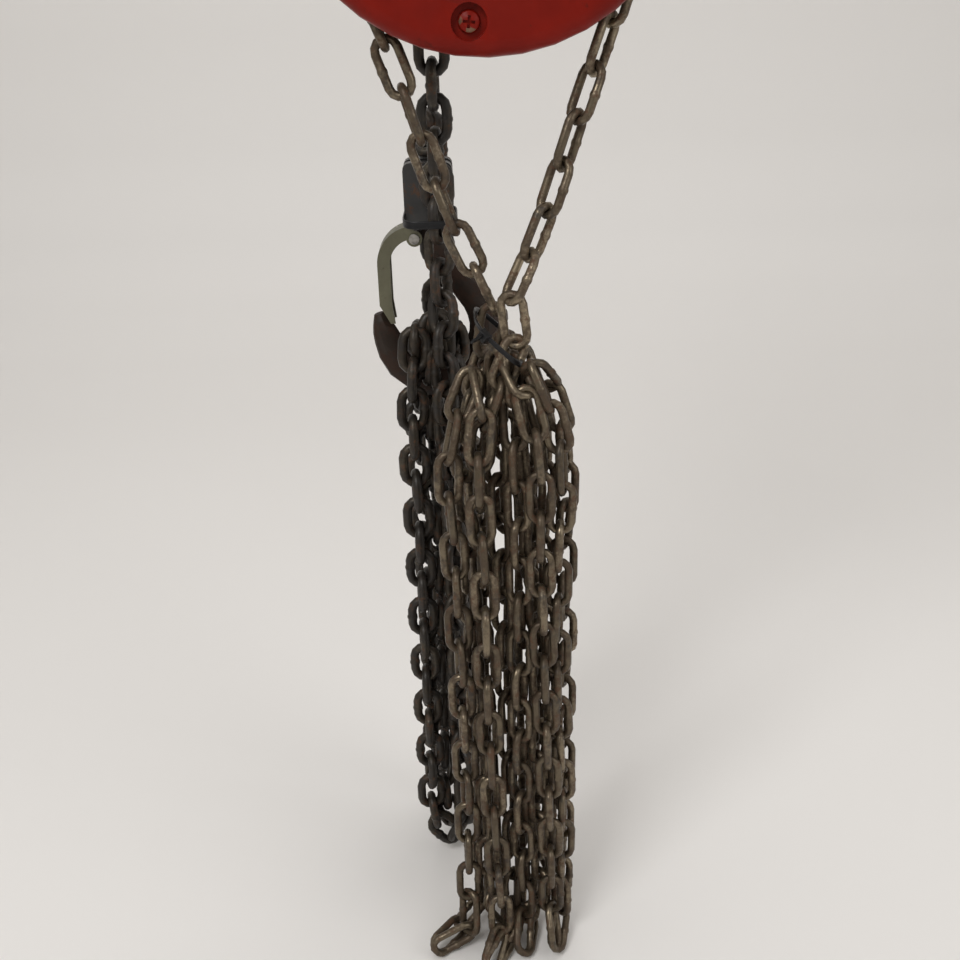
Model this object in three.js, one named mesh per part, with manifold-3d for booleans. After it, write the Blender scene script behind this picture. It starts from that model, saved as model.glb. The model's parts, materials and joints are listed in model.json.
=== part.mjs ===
// Hand chain hoist, hung up by its top hook with its chains gathered and tied.
// Millimetres, +Z up. The origin is the point of the top hook's bowl that bears on the support.
// The hand wheel's axis runs along Y, with the hand wheel cover facing -Y.
import * as THREE from "three";
import { mergeVertices } from "three/addons/utils/BufferGeometryUtils.js";
import Module from "manifold-3d";

const wasm = await Module();
wasm.setup();

// ---------- driving dimensions ----------

// Fits
const GAP = 0.3; // clearance where pieces touch or run
const PINHOLE = 0.3; // radial clearance of a hole round its pin

// Load chain and hand chain: wire diameter, pitch and outer width of a link
const LOAD_WIRE = 6.3;
const LOAD_PITCH = 19.1;
const LOAD_LINK_WIDTH = 21;
const HAND_WIRE = 5;
const HAND_PITCH = 25;
const HAND_LINK_WIDTH = 17.5;

// Chain wheels
const SHEAVE_POCKETS = 5;
const WHEEL_POCKETS = 11;

// Frame
const AXIS_Z = -190; // height of the hand wheel's and sheave's axis
const PLATE_GAP = 28; // clear distance between the side plates
const PLATE_T = 5;
const PLATE_MARGIN = 9.75; // width of side plate left beside the gear cover
const PLATE_TOP = 108; // above the axis
const PLATE_BOTTOM = 90; // below the axis
const STAY_R = 6;
const STAY_END_R = 4;
const STAY_NUT_R = 6;
const STAY_SPREAD = 70; // of the two upper stays, each side of the axis
const LOWER_STAY_DROP = 78; // below the axis
const ROLLER_R = 7;
const ROLLER_PIN_R = 3.5;
const ROLLER_DROP = 42; // below the axis
const DEAD_END_DROP = 70; // below the axis
const BEARING_OUTER_R = 22;
const JOURNAL_SHEAVE_R = 16;

// Hand wheel cover
const COVER_R = 108;
const COVER_DEPTH = 64;
const COVER_WALL = 1.8;
const COVER_EDGE_R = 9;
const COVER_FRONT_GAP = 18; // from the hand wheel's front face to the cover's front
const COVER_SCREW_R = 91; // radius of the circle that its screws stand on
const COVER_SCREW_FIRST = 264; // degrees, anticlockwise from +X as the front is seen
const COVER_MOUTH_DROP = 45; // the skirt is cut away lower than this below the axis
const COVER_LIP = 18; // depth of skirt left in front of the mouth
const RECESS_R = 9; // of the round recess that each cover screw sits in
const RECESS_DEPTH = 4.2;
const ARM_T = 3; // of the side plate's arms that carry the cover
const ARM_WIDTH = 16;

// Top suspension
const TOP_HOOK_BOWL_R = 20;
const TOP_HOOK_SECTION = 8.5; // half width of the hook's section beside the bowl
const TOP_HOOK_NECK_R = 7;
const TOP_PIN_R = 8;
const TOP_PIN_Z = -100;
const TOP_YOKE_HALF_WIDTH = 20;

// Hook latches
const LATCH_PIN_R = 2.2;
const LATCH_EYE_DROP = 8; // from the latch's outer curve down to its pivot
const LUG_R = 4.6;
const LUG_HALF = 3;

// Load hook
const LOAD_HOOK_X = -37;
const LOAD_HOOK_Y = 24;
const LOAD_HOOK_Z = -470; // centre of its bowl
const LOAD_HOOK_BOWL_R = 22;
const LOAD_HOOK_SECTION = 9.75;
const LOAD_HOOK_NECK_R = 6;
const LOAD_PIN_R = 3.5;
const LOAD_YOKE_HALF = 15; // half width along X
const LOAD_YOKE_SIDE = 11.5; // half depth along Y

// Brake
const SHAFT_R = 8;
const FRICTION_R = 29;
const SLEEVE_R = 14;
const RATCHET_R = 38;
const RATCHET_ROOT_R = 32;
const RATCHET_TEETH = 16;
const RATCHET_T = 5.7;
const FRICTION_T = 2.4;
const HUB_FLANGE_T = 8;
const PAWL_PIVOT = [-38.5, 30]; // of the left pawl, from the axis
const PAWL_PIN_R = 4;
const WHEEL_WIDTH = 26;

// Gears
const MODULE = 1.75;
const PINION_TEETH = 12;
const GEAR_TEETH = 36;
const PRESSURE_ANGLE = THREE.MathUtils.degToRad(25);
const BACKLASH = 0.5; // taken off each tooth's thickness at the pitch circle
const GEAR_FACE = 9.4;
const JOURNAL_R = 5;
const GEAR_COVER_WALL = 2;
const GEAR_COVER_CORNER_R = 34;
const GEAR_ROOM = 3; // from a gear's tip to the cover's wall
const PILLAR_ROOM = 10; // from a gear's tip to the middle of a support pillar

// Cable ties
const TIE_T = 1.5;
const TIE_WIDTH = 4.8;
const TIE_Z = -444;
const HAND_NECK = { x0: -9, x1: 13, y0: -95, y1: -57 }; // the gathered hand chain inside its tie
const HAND_NECK_CORNER_R = 9;

// ---------- derived places ----------

const sheaveRadius = pocketWheelRadius(LOAD_PITCH, LOAD_WIRE, SHEAVE_POCKETS);
const wheelRadius = pocketWheelRadius(HAND_PITCH, HAND_WIRE, WHEEL_POCKETS);
const plateInner = PLATE_GAP / 2;
const plateOuter = plateInner + PLATE_T;
const hubBack = -(plateOuter + 4.4);
const hubFront = hubBack - HUB_FLANGE_T;
const backDiscFront = hubFront - GAP - FRICTION_T;
const ratchetFront = backDiscFront - GAP - RATCHET_T;
const frontDiscFront = ratchetFront - GAP - FRICTION_T;
const wheelBack = frontDiscFront - GAP;
const wheelFront = wheelBack - WHEEL_WIDTH;
const wheelMid = (wheelBack + wheelFront) / 2;
const coverFront = wheelFront - COVER_FRONT_GAP;
const centreDistance = (MODULE * (PINION_TEETH + GEAR_TEETH)) / 2;
const gearTip = (MODULE * (GEAR_TEETH + 2)) / 2;
const firstStage = [plateOuter + 1.3, plateOuter + 1.3 + GEAR_FACE];
const secondStage = [firstStage[1] + 3.8, firstStage[1] + 3.8 + GEAR_FACE];
const supportPlate = [secondStage[1] + 2.4, secondStage[1] + 6.4];
const pillarZ = gearTip + PILLAR_ROOM;
const gearCoverHalfX = centreDistance + gearTip + GEAR_ROOM + GEAR_COVER_WALL;
const gearCoverHalfZ = pillarZ + 9 + GEAR_COVER_WALL;
const plateHalfWidth = gearCoverHalfX + PLATE_MARGIN;
const stays = [
  [-STAY_SPREAD, gearCoverHalfZ + STAY_NUT_R + GAP],
  [STAY_SPREAD, gearCoverHalfZ + STAY_NUT_R + GAP],
  [0, -LOWER_STAY_DROP],
];
const pinionRootR = MODULE * (PINION_TEETH / 2 - 1.25);
const topHeadR = TOP_HOOK_NECK_R + 3;
const rollerZ = AXIS_Z - ROLLER_DROP;
const deadEndZ = AXIS_Z - DEAD_END_DROP;

// ---------- shared geometry ----------

// Pitch radius of a wheel whose pockets each take two chain pitches.
function pocketWheelRadius(pitch, wire, pockets) {
  const quarter = Math.PI / (2 * pockets);
  return Math.hypot(pitch / Math.sin(quarter), wire / Math.cos(quarter)) / 2;
}

// A closed geometry as a solid, turned right side out.
function solid(geometry) {
  const bare = geometry.index ? geometry.toNonIndexed() : geometry.clone();
  bare.deleteAttribute("normal");
  bare.deleteAttribute("uv");
  const merged = mergeVertices(bare, 1e-4);
  const corners = Array.from(merged.index.array);
  const points = merged.attributes.position.array;
  const made = new wasm.Manifold(new wasm.Mesh({
    numProp: 3,
    vertProperties: points,
    triVerts: new Uint32Array(corners),
  }));
  if (made.volume() > 0) {
    return made;
  }
  return new wasm.Manifold(new wasm.Mesh({
    numProp: 3,
    vertProperties: points,
    triVerts: new Uint32Array(corners.reverse()),
  }));
}

// A solid as a geometry.
function geometryOf(body) {
  const { numProp, vertProperties, triVerts } = body.getMesh();
  const positions = new Float32Array(triVerts.length * 3);
  triVerts.forEach((vertex, corner) => {
    for (let k = 0; k < 3; k += 1) {
      positions[corner * 3 + k] = vertProperties[vertex * numProp + k];
    }
  });
  const geometry = new THREE.BufferGeometry();
  geometry.setAttribute("position", new THREE.BufferAttribute(positions, 3));
  geometry.computeVertexNormals();
  return geometry;
}

// A box between two corners.
function box(x0, x1, y0, y1, z0, z1) {
  const geometry = new THREE.BoxGeometry(x1 - x0, y1 - y0, z1 - z0);
  geometry.translate((x0 + x1) / 2, (y0 + y1) / 2, (z0 + z1) / 2);
  return solid(geometry);
}

// A cylinder along Y, from y0 to y1, centred on (x, z).
function rodY(radius, y0, y1, x = 0, z = 0, sides = 14) {
  const geometry = new THREE.CylinderGeometry(radius, radius, y1 - y0, sides);
  geometry.translate(x, (y0 + y1) / 2, z);
  return solid(geometry);
}

// A cylinder along Z.
function rodZ(radius, z0, z1, x = 0, y = 0, sides = 20) {
  const geometry = new THREE.CylinderGeometry(radius, radius, z1 - z0, sides);
  geometry.rotateX(Math.PI / 2);
  geometry.translate(x, y, (z0 + z1) / 2);
  return solid(geometry);
}

// A solid of revolution about the Y axis from [radius, y] pairs. They close on themselves, or they
// start and end on the axis.
function turned(pairs, sides = 32) {
  const onAxis = pairs[0][0] === 0;
  const profile = pairs.map(([r, y]) => new THREE.Vector2(r, y));
  if (!onAxis) {
    profile.push(profile[0].clone());
  }
  return solid(new THREE.LatheGeometry(profile, sides));
}

// A ring about the Y axis.
function ringY(inner, outer, y0, y1, sides = 32) {
  return turned([[inner, y0], [outer, y0], [outer, y1], [inner, y1]], sides);
}

// A shape drawn in x and z, given thickness along Y.
function plateY(shape, y0, y1, segments = 8) {
  const geometry = new THREE.ExtrudeGeometry(shape, {
    depth: y1 - y0,
    bevelEnabled: false,
    curveSegments: segments,
  });
  geometry.rotateX(Math.PI / 2);
  geometry.translate(0, y1, 0);
  return solid(geometry);
}

// A shape drawn in x and y, given thickness along Z.
function plateZ(shape, z0, z1, segments = 6) {
  const geometry = new THREE.ExtrudeGeometry(shape, {
    depth: z1 - z0,
    bevelEnabled: false,
    curveSegments: segments,
  });
  geometry.translate(0, 0, z0);
  return solid(geometry);
}

// A polygon with its corners rounded.
function roundedShape(points, radius) {
  const shape = new THREE.Shape();
  const count = points.length;
  points.forEach((point, i) => {
    const corner = new THREE.Vector2(...point);
    const before = new THREE.Vector2(...points[(i + count - 1) % count]);
    const after = new THREE.Vector2(...points[(i + 1) % count]);
    const enter = corner.clone().add(before.sub(corner).setLength(radius));
    const leave = corner.clone().add(after.sub(corner).setLength(radius));
    if (i === 0) {
      shape.moveTo(enter.x, enter.y);
    } else {
      shape.lineTo(enter.x, enter.y);
    }
    shape.quadraticCurveTo(corner.x, corner.y, leave.x, leave.y);
  });
  shape.closePath();
  return shape;
}

// A rounded rectangle between two corners.
function roundedRectangle(x0, x1, y0, y1, radius) {
  return roundedShape([[x0, y0], [x1, y0], [x1, y1], [x0, y1]], radius);
}

// A closed polygon as a shape.
function polygon(points) {
  return new THREE.Shape(points.map(([x, y]) => new THREE.Vector2(x, y)));
}

// A solid turned about the hoist's Y axis direction, by degrees anticlockwise as the front is seen.
function spun(body, degrees) {
  return body.rotate([0, -degrees, 0]);
}

// A six-sided nut or head along Y.
function hexY(radius, y0, y1, x = 0, z = 0) {
  return rodY(radius, y0, y1, x, z, 6);
}

// A forged bar: elliptical sections carried along a path in the x, z plane.
// Each station is [x, z, half width in the plane, half thickness along Y].
function forgedBar(stations, sides = 10, steps = 28) {
  const centre = new THREE.CatmullRomCurve3(stations.map(([x, z]) => new THREE.Vector3(x, 0, z)));
  const halves = new THREE.CatmullRomCurve3(
    stations.map(([, , wide, thick]) => new THREE.Vector3(wide, thick, 0)),
  );
  const positions = [];
  const indices = [];
  for (let i = 0; i <= steps; i += 1) {
    const t = i / steps;
    const at = centre.getPoint(t);
    const along = centre.getTangent(t);
    const half = halves.getPoint(t);
    for (let j = 0; j < sides; j += 1) {
      const turn = (2 * Math.PI * j) / sides;
      const across = half.x * Math.cos(turn);
      positions.push(at.x + along.z * across, half.y * Math.sin(turn), at.z - along.x * across);
    }
  }
  for (let i = 0; i < steps; i += 1) {
    for (let j = 0; j < sides; j += 1) {
      const a = i * sides + j;
      const b = i * sides + ((j + 1) % sides);
      indices.push(a, b, a + sides, b, b + sides, a + sides);
    }
  }
  for (let j = 1; j < sides - 1; j += 1) {
    indices.push(0, j + 1, j);
    const last = steps * sides;
    indices.push(last, last + j, last + j + 1);
  }
  const geometry = new THREE.BufferGeometry();
  geometry.setAttribute("position", new THREE.Float32BufferAttribute(positions, 3));
  geometry.setIndex(indices);
  return solid(geometry);
}

// A round tube along a smooth path, closed at both ends.
function tube(points, diameter, steps, sides = 10) {
  const path = new THREE.CatmullRomCurve3(points.map((point) => new THREE.Vector3(...point)));
  const section = new THREE.Shape();
  for (let j = 0; j < sides; j += 1) {
    const turn = (2 * Math.PI * j) / sides;
    const x = (diameter / 2) * Math.cos(turn);
    const y = (diameter / 2) * Math.sin(turn);
    if (j === 0) {
      section.moveTo(x, y);
    } else {
      section.lineTo(x, y);
    }
  }
  section.closePath();
  return solid(new THREE.ExtrudeGeometry(section, { steps, extrudePath: path, bevelEnabled: false }));
}

// A coil of round wire about the Y axis.
function coilY(radius, wire, y0, y1, turns) {
  const points = [];
  const perTurn = 8;
  for (let i = 0; i <= turns * perTurn; i += 1) {
    const turn = (2 * Math.PI * i) / perTurn;
    const y = y0 + wire / 2 + ((y1 - y0 - wire) * i) / (turns * perTurn);
    points.push([radius * Math.cos(turn), y, radius * Math.sin(turn)]);
  }
  return tube(points, wire, turns * perTurn, 5);
}

// An involute spur gear centred on the Y axis, with a tooth on +X turned by a phase in radians.
function spurGear(teeth, y0, y1, phase) {
  const pitch = (MODULE * teeth) / 2;
  const base = pitch * Math.cos(PRESSURE_ANGLE);
  const tip = pitch + MODULE;
  const root = pitch - 1.25 * MODULE;
  const halfAtPitch = (Math.PI * MODULE) / 2 - BACKLASH;
  const involute = (angle) => Math.tan(angle) - angle;
  const halfAngle = (radius) => {
    const angle = Math.acos(Math.min(1, base / radius));
    return halfAtPitch / (2 * pitch) + involute(PRESSURE_ANGLE) - involute(angle);
  };
  const flank = base > root + 0.2 ? [root, base, pitch, tip] : [root, pitch, tip];
  const points = [];
  const put = (radius, angle) => points.push([radius * Math.cos(angle), radius * Math.sin(angle)]);
  for (let i = 0; i < teeth; i += 1) {
    const middle = phase + (2 * Math.PI * i) / teeth;
    flank.forEach((radius) => put(radius, middle - halfAngle(Math.max(radius, base))));
    [...flank].reverse().forEach((radius) => put(radius, middle + halfAngle(Math.max(radius, base))));
  }
  return plateY(polygon(points), y0, y1);
}

// The phase that puts a gear in mesh with one whose own phase and bearing are known.
function meshPhase(teeth, drivenBy, drivenPhase, bearing) {
  const share = (drivenBy * (bearing - drivenPhase)) / (2 * Math.PI);
  return bearing + Math.PI - ((0.5 - share) * 2 * Math.PI) / teeth;
}

// ---------- finishes ----------

const FINISHES = {
  red_paint: { color: 0xb51f12, roughness: 0.35, metalness: 0.1 },
  dark_frame: { color: 0x2b2b2c, roughness: 0.6, metalness: 0.6 },
  machined_steel: { color: 0x9a9893, roughness: 0.4, metalness: 0.9 },
  cast_wheel: { color: 0x4a4744, roughness: 0.7, metalness: 0.7 },
  friction_lining: { color: 0x6b5236, roughness: 0.9, metalness: 0 },
  hook_forging: { color: 0x4a3226, roughness: 0.65, metalness: 0.5 },
  latch_plate: { color: 0x777a66, roughness: 0.45, metalness: 0.8 },
  hand_chain: { color: 0x5b5147, roughness: 0.5, metalness: 0.8 },
  load_chain: { color: 0x3d352f, roughness: 0.55, metalness: 0.8 },
  black_nylon: { color: 0x101010, roughness: 0.5, metalness: 0 },
};

const hoist = new THREE.Group();

// Adds a solid to the hoist as a named mesh with its own material.
function add(name, body, finish) {
  const mesh = new THREE.Mesh(geometryOf(body), new THREE.MeshStandardMaterial(FINISHES[finish]));
  mesh.name = name;
  hoist.add(mesh);
}

// ---------- top suspension ----------

// The hook's bar, from its upset head to its tip, round a bowl at the origin of the x, z plane.
// The hook opens upwards and its tip stands at -X.
function hookBar({ bowl, section, neckR, neckZ, shankEnd, tipRise, tipHalf }) {
  const back = bowl + section;
  const bottom = bowl + section * 1.25;
  const slim = section * 0.9;
  const thick = section * 0.95;
  return forgedBar([
    [0, shankEnd, neckR, neckR],
    [0, neckZ + 6, neckR, neckR],
    [0, neckZ, neckR, neckR],
    [back * 0.12, neckZ - section * 0.7, neckR * 1.15, neckR],
    [back * 0.55, back * 0.97, section * 0.85, neckR],
    [back * 0.93, back * 0.42, section * 0.95, thick * 0.8],
    [back * 1.01, -back * 0.1, section, thick],
    [back * 0.75, -bottom * 0.69, section * 1.15, thick],
    [0, -bottom, section * 1.25, thick * 1.05],
    [-back * 0.72, -bottom * 0.69, section * 1.1, thick],
    [-back * 0.99, -back * 0.12, slim, thick * 0.85],
    [-back * 1.08, tipRise - 4, section * 0.55, thick * 0.65],
    [-back * 1.12, tipRise, tipHalf, tipHalf],
  ]);
}

// A sprung latch in the x, z plane of a hook: a bowed channel that hangs from its pivot and ends
// inside the tip.
function latchBody({ pivot, reach, drop, cheek }) {
  const wide = 8;
  const wall = 2;
  const band = (outset, inset) => {
    const shape = new THREE.Shape();
    const outer = reach - outset;
    const inner = reach - inset;
    const end = Math.min(inner, reach - 9.5);
    shape.moveTo(0, outer);
    shape.absarc(0, 0, outer, Math.PI / 2, Math.PI, false);
    shape.lineTo(-outer, -drop + 12);
    shape.lineTo(-outer + 6.5, -drop);
    shape.lineTo(-end, -drop);
    shape.lineTo(-inner, -drop + 12);
    shape.lineTo(-inner, 0);
    shape.absarc(0, 0, inner, Math.PI, Math.PI / 2, true);
    shape.closePath();
    return shape;
  };
  const inside = cheek + GAP;
  const width = inside + 1.8;
  const eye = reach - LATCH_EYE_DROP;
  let body = plateY(band(0, wide), -width, width, 8).add(rodY(5, -width, width, 0, eye, 16));
  body = body.subtract(plateY(band(wall, wide + 6), -inside, inside, 8));
  body = body.subtract(box(-5.5, 8, -inside, inside, eye - 6, reach - wall));
  body = body.subtract(box(0, 8, -inside, inside, eye - 6, reach + 1));
  body = body.subtract(rodY(LATCH_PIN_R + PINHOLE, -width - 1, width + 1, 0, eye, 12));
  return body.translate([pivot[0], 0, pivot[1] - eye]);
}

// The latch's pin, riveted over outside its cheeks.
function latchPin({ pivot, cheek }) {
  const width = cheek + GAP + 1.8;
  let body = rodY(LATCH_PIN_R, -width - 1, width + 1, ...pivot, 12);
  [-1, 1].forEach((side) => {
    const near = side * (width + GAP);
    const far = side * (width + 1.6);
    body = body.add(rodY(LATCH_PIN_R + 1.2, Math.min(near, far), Math.max(near, far), ...pivot, 12));
  });
  return body;
}

// The coil that closes a latch, beside the hook's lug and inside the latch's cheek.
function latchSpring({ pivot, cheek }) {
  return coilY(LATCH_PIN_R + 1.1, 0.8, LUG_HALF + 0.4, cheek, 2).translate([pivot[0], 0, pivot[1]]);
}

// The hook's lug for its latch, with the bore for the pin.
function addLug(bar, { pivot, cheek }) {
  const eye = rodY(LUG_R, -LUG_HALF, LUG_HALF, ...pivot, 16);
  const root = box(pivot[0], 0, -LUG_HALF, LUG_HALF, pivot[1] - 4, pivot[1] + 4);
  return bar.add(eye).add(root).subtract(rodY(LATCH_PIN_R + PINHOLE, -cheek - 5, cheek + 5, ...pivot, 12));
}

const topBowlZ = -TOP_HOOK_BOWL_R;
const topShankEnd = TOP_PIN_Z + 13;
const topYokeTop = topBowlZ - 45;
const topYokeSide = plateInner - GAP;

function topHook() {
  const neckDrop = topBowlZ - topYokeTop - 2;
  const bar = hookBar({
    bowl: TOP_HOOK_BOWL_R,
    section: TOP_HOOK_SECTION,
    neckR: TOP_HOOK_NECK_R,
    neckZ: neckDrop,
    shankEnd: topBowlZ - topShankEnd - 4,
    tipRise: 13,
    tipHalf: 3,
  });
  const upright = addLug(bar, topLatch).rotate([180, 0, 0]).translate([0, 0, topBowlZ]);
  const head = rodZ(topHeadR, topShankEnd, topShankEnd + 8);
  return upright.add(head);
}

function topYoke() {
  const half = TOP_YOKE_HALF_WIDTH;
  const bottom = TOP_PIN_Z - TOP_PIN_R - 6;
  const block = plateY(roundedRectangle(-half, half, bottom, topYokeTop, 6), -topYokeSide, topYokeSide, 4);
  const room = topHeadR + 2 * GAP;
  const chamber = box(-half - 1, half + 1, -room, room, topShankEnd - GAP, topShankEnd + 8 + GAP);
  const shankBore = rodZ(TOP_HOOK_NECK_R + PINHOLE, topShankEnd, topYokeTop + 1);
  const pinBore = rodY(TOP_PIN_R + PINHOLE, -PLATE_GAP, PLATE_GAP, 0, TOP_PIN_Z, 24);
  return block.subtract(chamber).subtract(shankBore).subtract(pinBore);
}

// A pin through both side plates, with a head in front and a riveted collar behind.
function platePin(radius, headR, x, z) {
  const shank = rodY(radius, -plateOuter - 1, plateOuter + 1, x, z);
  const head = rodY(headR, -plateOuter - 3, -plateOuter - GAP, x, z);
  const collar = rodY(headR, plateOuter + GAP, plateOuter + 3, x, z);
  return shank.add(head).add(collar);
}

// ---------- frame ----------

const rollerX = sheaveRadius + LOAD_LINK_WIDTH / 2 + 7.8;

// The side plates' common outline, about the axis.
function plateOutline() {
  const w = plateHalfWidth;
  return roundedShape([
    [-w * 0.38, PLATE_TOP], [-w * 0.93, PLATE_TOP * 0.57], [-w, 0], [-w * 0.93, -PLATE_BOTTOM * 0.64],
    [-w * 0.62, -PLATE_BOTTOM], [w * 0.62, -PLATE_BOTTOM], [w * 0.93, -PLATE_BOTTOM * 0.64], [w, 0],
    [w * 0.93, PLATE_TOP * 0.57], [w * 0.38, PLATE_TOP],
  ], 12);
}

// The holes that both side plates share, cut from a plate that stands about the axis.
function commonHoles(plate, y0, y1) {
  let cut = plate.subtract(rodY(BEARING_OUTER_R + GAP, y0 - 1, y1 + 1, 0, 0, 28));
  cut = cut.subtract(rodY(TOP_PIN_R + PINHOLE, y0 - 1, y1 + 1, 0, TOP_PIN_Z - AXIS_Z, 24));
  stays.forEach(([x, z]) => {
    cut = cut.subtract(rodY(STAY_END_R + PINHOLE, y0 - 1, y1 + 1, x, z, 12));
  });
  [-1, 1].forEach((side) => {
    cut = cut.subtract(rodY(ROLLER_PIN_R + PINHOLE, y0 - 1, y1 + 1, side * rollerX, rollerZ - AXIS_Z, 14));
  });
  return cut.subtract(rodY(LOAD_PIN_R + PINHOLE, y0 - 1, y1 + 1, sheaveRadius, deadEndZ - AXIS_Z, 14));
}

const armOuter = COVER_R - COVER_WALL - 1.6;
const coverScrewAngles = [0, 120, 240].map((turn) => COVER_SCREW_FIRST + turn);
const armLipFront = coverFront + COVER_WALL + 6.2;

// One arm bent forward from the front plate to carry a cover screw, standing at +X.
function coverArm() {
  const half = ARM_WIDTH / 2;
  const root = box(plateHalfWidth * 0.6, armOuter, -plateOuter, -plateInner, -half, half);
  const leg = box(armOuter - ARM_T, armOuter, armLipFront, -plateInner - 1, -half, half);
  const lip = box(COVER_SCREW_R - 9, armOuter, armLipFront, armLipFront + ARM_T, -half, half);
  const thread = rodY(2.5 + PINHOLE, armLipFront - 1, armLipFront + ARM_T + 1, COVER_SCREW_R, 0, 14);
  return root.add(leg).add(lip).subtract(thread);
}

function frontSidePlate() {
  let plate = plateY(plateOutline(), -plateOuter, -plateInner, 3);
  coverScrewAngles.forEach((angle) => {
    plate = plate.add(spun(coverArm(), angle));
  });
  plate = commonHoles(plate, -plateOuter, -plateInner);
  [1, -1].forEach((side) => {
    plate = plate.subtract(rodY(
      PAWL_PIN_R + PINHOLE, -plateOuter - 1, -plateInner + 1, side * PAWL_PIVOT[0], side * PAWL_PIVOT[1], 14,
    ));
  });
  return plate.translate([0, 0, AXIS_Z]);
}

function rearSidePlate() {
  let plate = commonHoles(plateY(plateOutline(), plateInner, plateOuter, 3), plateInner, plateOuter);
  [-1, 1].forEach((side) => {
    const x = side * centreDistance;
    plate = plate.subtract(rodY(JOURNAL_R + PINHOLE, plateInner - 1, plateOuter + 1, x, 0, 16));
  });
  return plate.translate([0, 0, AXIS_Z]);
}

// A shouldered stay with a head in front and a nut run on behind.
function stay([x, z]) {
  const shoulder = rodY(STAY_R, -plateInner + GAP, plateInner - GAP, x, z);
  const ends = rodY(STAY_END_R, -plateOuter - 1, plateOuter + 1, x, z, 12);
  const head = hexY(STAY_NUT_R, -plateOuter - 3.6, -plateOuter - GAP, x, z);
  const nut = hexY(STAY_NUT_R, plateOuter + GAP, plateOuter + 5, x, z);
  return shoulder.add(ends).add(head).add(nut).translate([0, 0, AXIS_Z]);
}

function guideRoller(side) {
  const half = plateInner - 2 * GAP;
  const waist = ROLLER_R - 1.5;
  return turned([
    [ROLLER_PIN_R + PINHOLE, -half], [ROLLER_R, -half], [ROLLER_R, -half / 2], [waist, -3],
    [waist, 3], [ROLLER_R, half / 2], [ROLLER_R, half], [ROLLER_PIN_R + PINHOLE, half],
  ], 16).translate([side * rollerX, 0, rollerZ]);
}

// A finger that stands in the sheave's groove and turns the chain out of its pockets.
function chainStripper() {
  const top = -grooveR - 1.6;
  const foot = stays[2][1];
  const blade = plateY(polygon([
    [-7, top - 1], [0, top], [7, top - 1], [15, foot + 16], [10, foot - 8], [-10, foot - 8], [-15, foot + 16],
  ]), -grooveHalf + 0.5, grooveHalf - 0.5);
  const bore = rodY(STAY_R + PINHOLE, -PLATE_GAP, PLATE_GAP, 0, foot, 18);
  return blade.subtract(bore).translate([0, 0, AXIS_Z]);
}

// ---------- load sheave and gears ----------

const grooveR = sheaveRadius - LOAD_LINK_WIDTH / 2 - 1.2;
const grooveHalf = LOAD_WIRE / 2 + 1;
const sheaveRim = sheaveRadius + 7;

// Lugs that stand between the pockets of a chain wheel, on both sides of its groove.
function pocketLugs({ pockets, from, to, thick, inner, outer, middle }) {
  const lugs = [];
  for (let i = 0; i < pockets; i += 1) {
    [-1, 1].forEach((side) => {
      const near = middle + side * inner;
      const far = middle + side * outer;
      const lug = box(from, to, Math.min(near, far), Math.max(near, far), -thick / 2, thick / 2);
      lugs.push(spun(lug, (360 * i) / pockets));
    });
  }
  return lugs;
}

function loadSheave() {
  const side = plateInner - GAP;
  const rimIn = LOAD_LINK_WIDTH / 2 + 0.4;
  const seat = sheaveRadius - LOAD_WIRE / 2 - GAP;
  const bore = SHAFT_R + 0.5;
  let body = turned([
    [bore, -plateOuter], [JOURNAL_SHEAVE_R, -plateOuter], [JOURNAL_SHEAVE_R, -side], [sheaveRim, -side],
    [sheaveRim, -rimIn], [seat, -rimIn + 1], [seat, -grooveHalf], [grooveR, -grooveHalf],
    [grooveR, grooveHalf], [seat, grooveHalf], [seat, rimIn - 1], [sheaveRim, rimIn],
    [sheaveRim, side], [JOURNAL_SHEAVE_R, side], [JOURNAL_SHEAVE_R, plateOuter + 0.5],
    [splineR, plateOuter + 0.5], [splineR, firstStage[1]], [bore, firstStage[1]],
  ], 4 * SHEAVE_POCKETS);
  pocketLugs({
    pockets: SHEAVE_POCKETS, from: seat - 1, to: sheaveRim - 1.5, thick: 5,
    inner: grooveHalf, outer: rimIn, middle: 0,
  }).forEach((lug) => {
    body = body.add(lug);
  });
  return body.translate([0, 0, AXIS_Z]);
}

const splineR = 12;

function sheaveBearing(front) {
  const y0 = front ? -plateOuter : plateInner;
  return ringY(JOURNAL_SHEAVE_R + GAP, BEARING_OUTER_R, y0, y0 + PLATE_T, 28).translate([0, 0, AXIS_Z]);
}

const drivePhase = 0;
const loadPhase = 0;

function loadGear() {
  const gear = spurGear(GEAR_TEETH, ...firstStage, loadPhase);
  const bore = rodY(splineR + PINHOLE, firstStage[0] - 1, firstStage[1] + 1, 0, 0, 24);
  return gear.subtract(bore).translate([0, 0, AXIS_Z]);
}

// The gear pair on one intermediate shaft. side is -1 at the left and +1 at the right.
function intermediateGear(side) {
  const bearing = side > 0 ? 0 : Math.PI;
  const largePhase = meshPhase(GEAR_TEETH, PINION_TEETH, drivePhase, bearing);
  const smallPhase = meshPhase(PINION_TEETH, GEAR_TEETH, loadPhase, bearing);
  const large = spurGear(GEAR_TEETH, ...secondStage, largePhase);
  const small = spurGear(PINION_TEETH, firstStage[0], secondStage[0] + 0.5, smallPhase);
  const frontJournal = rodY(JOURNAL_R, plateInner + GAP, firstStage[0] + 1, 0, 0, 16);
  const rearJournal = rodY(JOURNAL_R, secondStage[1] - 1, supportPlate[1], 0, 0, 16);
  const body = large.add(small).add(frontJournal).add(rearJournal);
  return body.translate([side * centreDistance, 0, AXIS_Z]);
}

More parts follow.
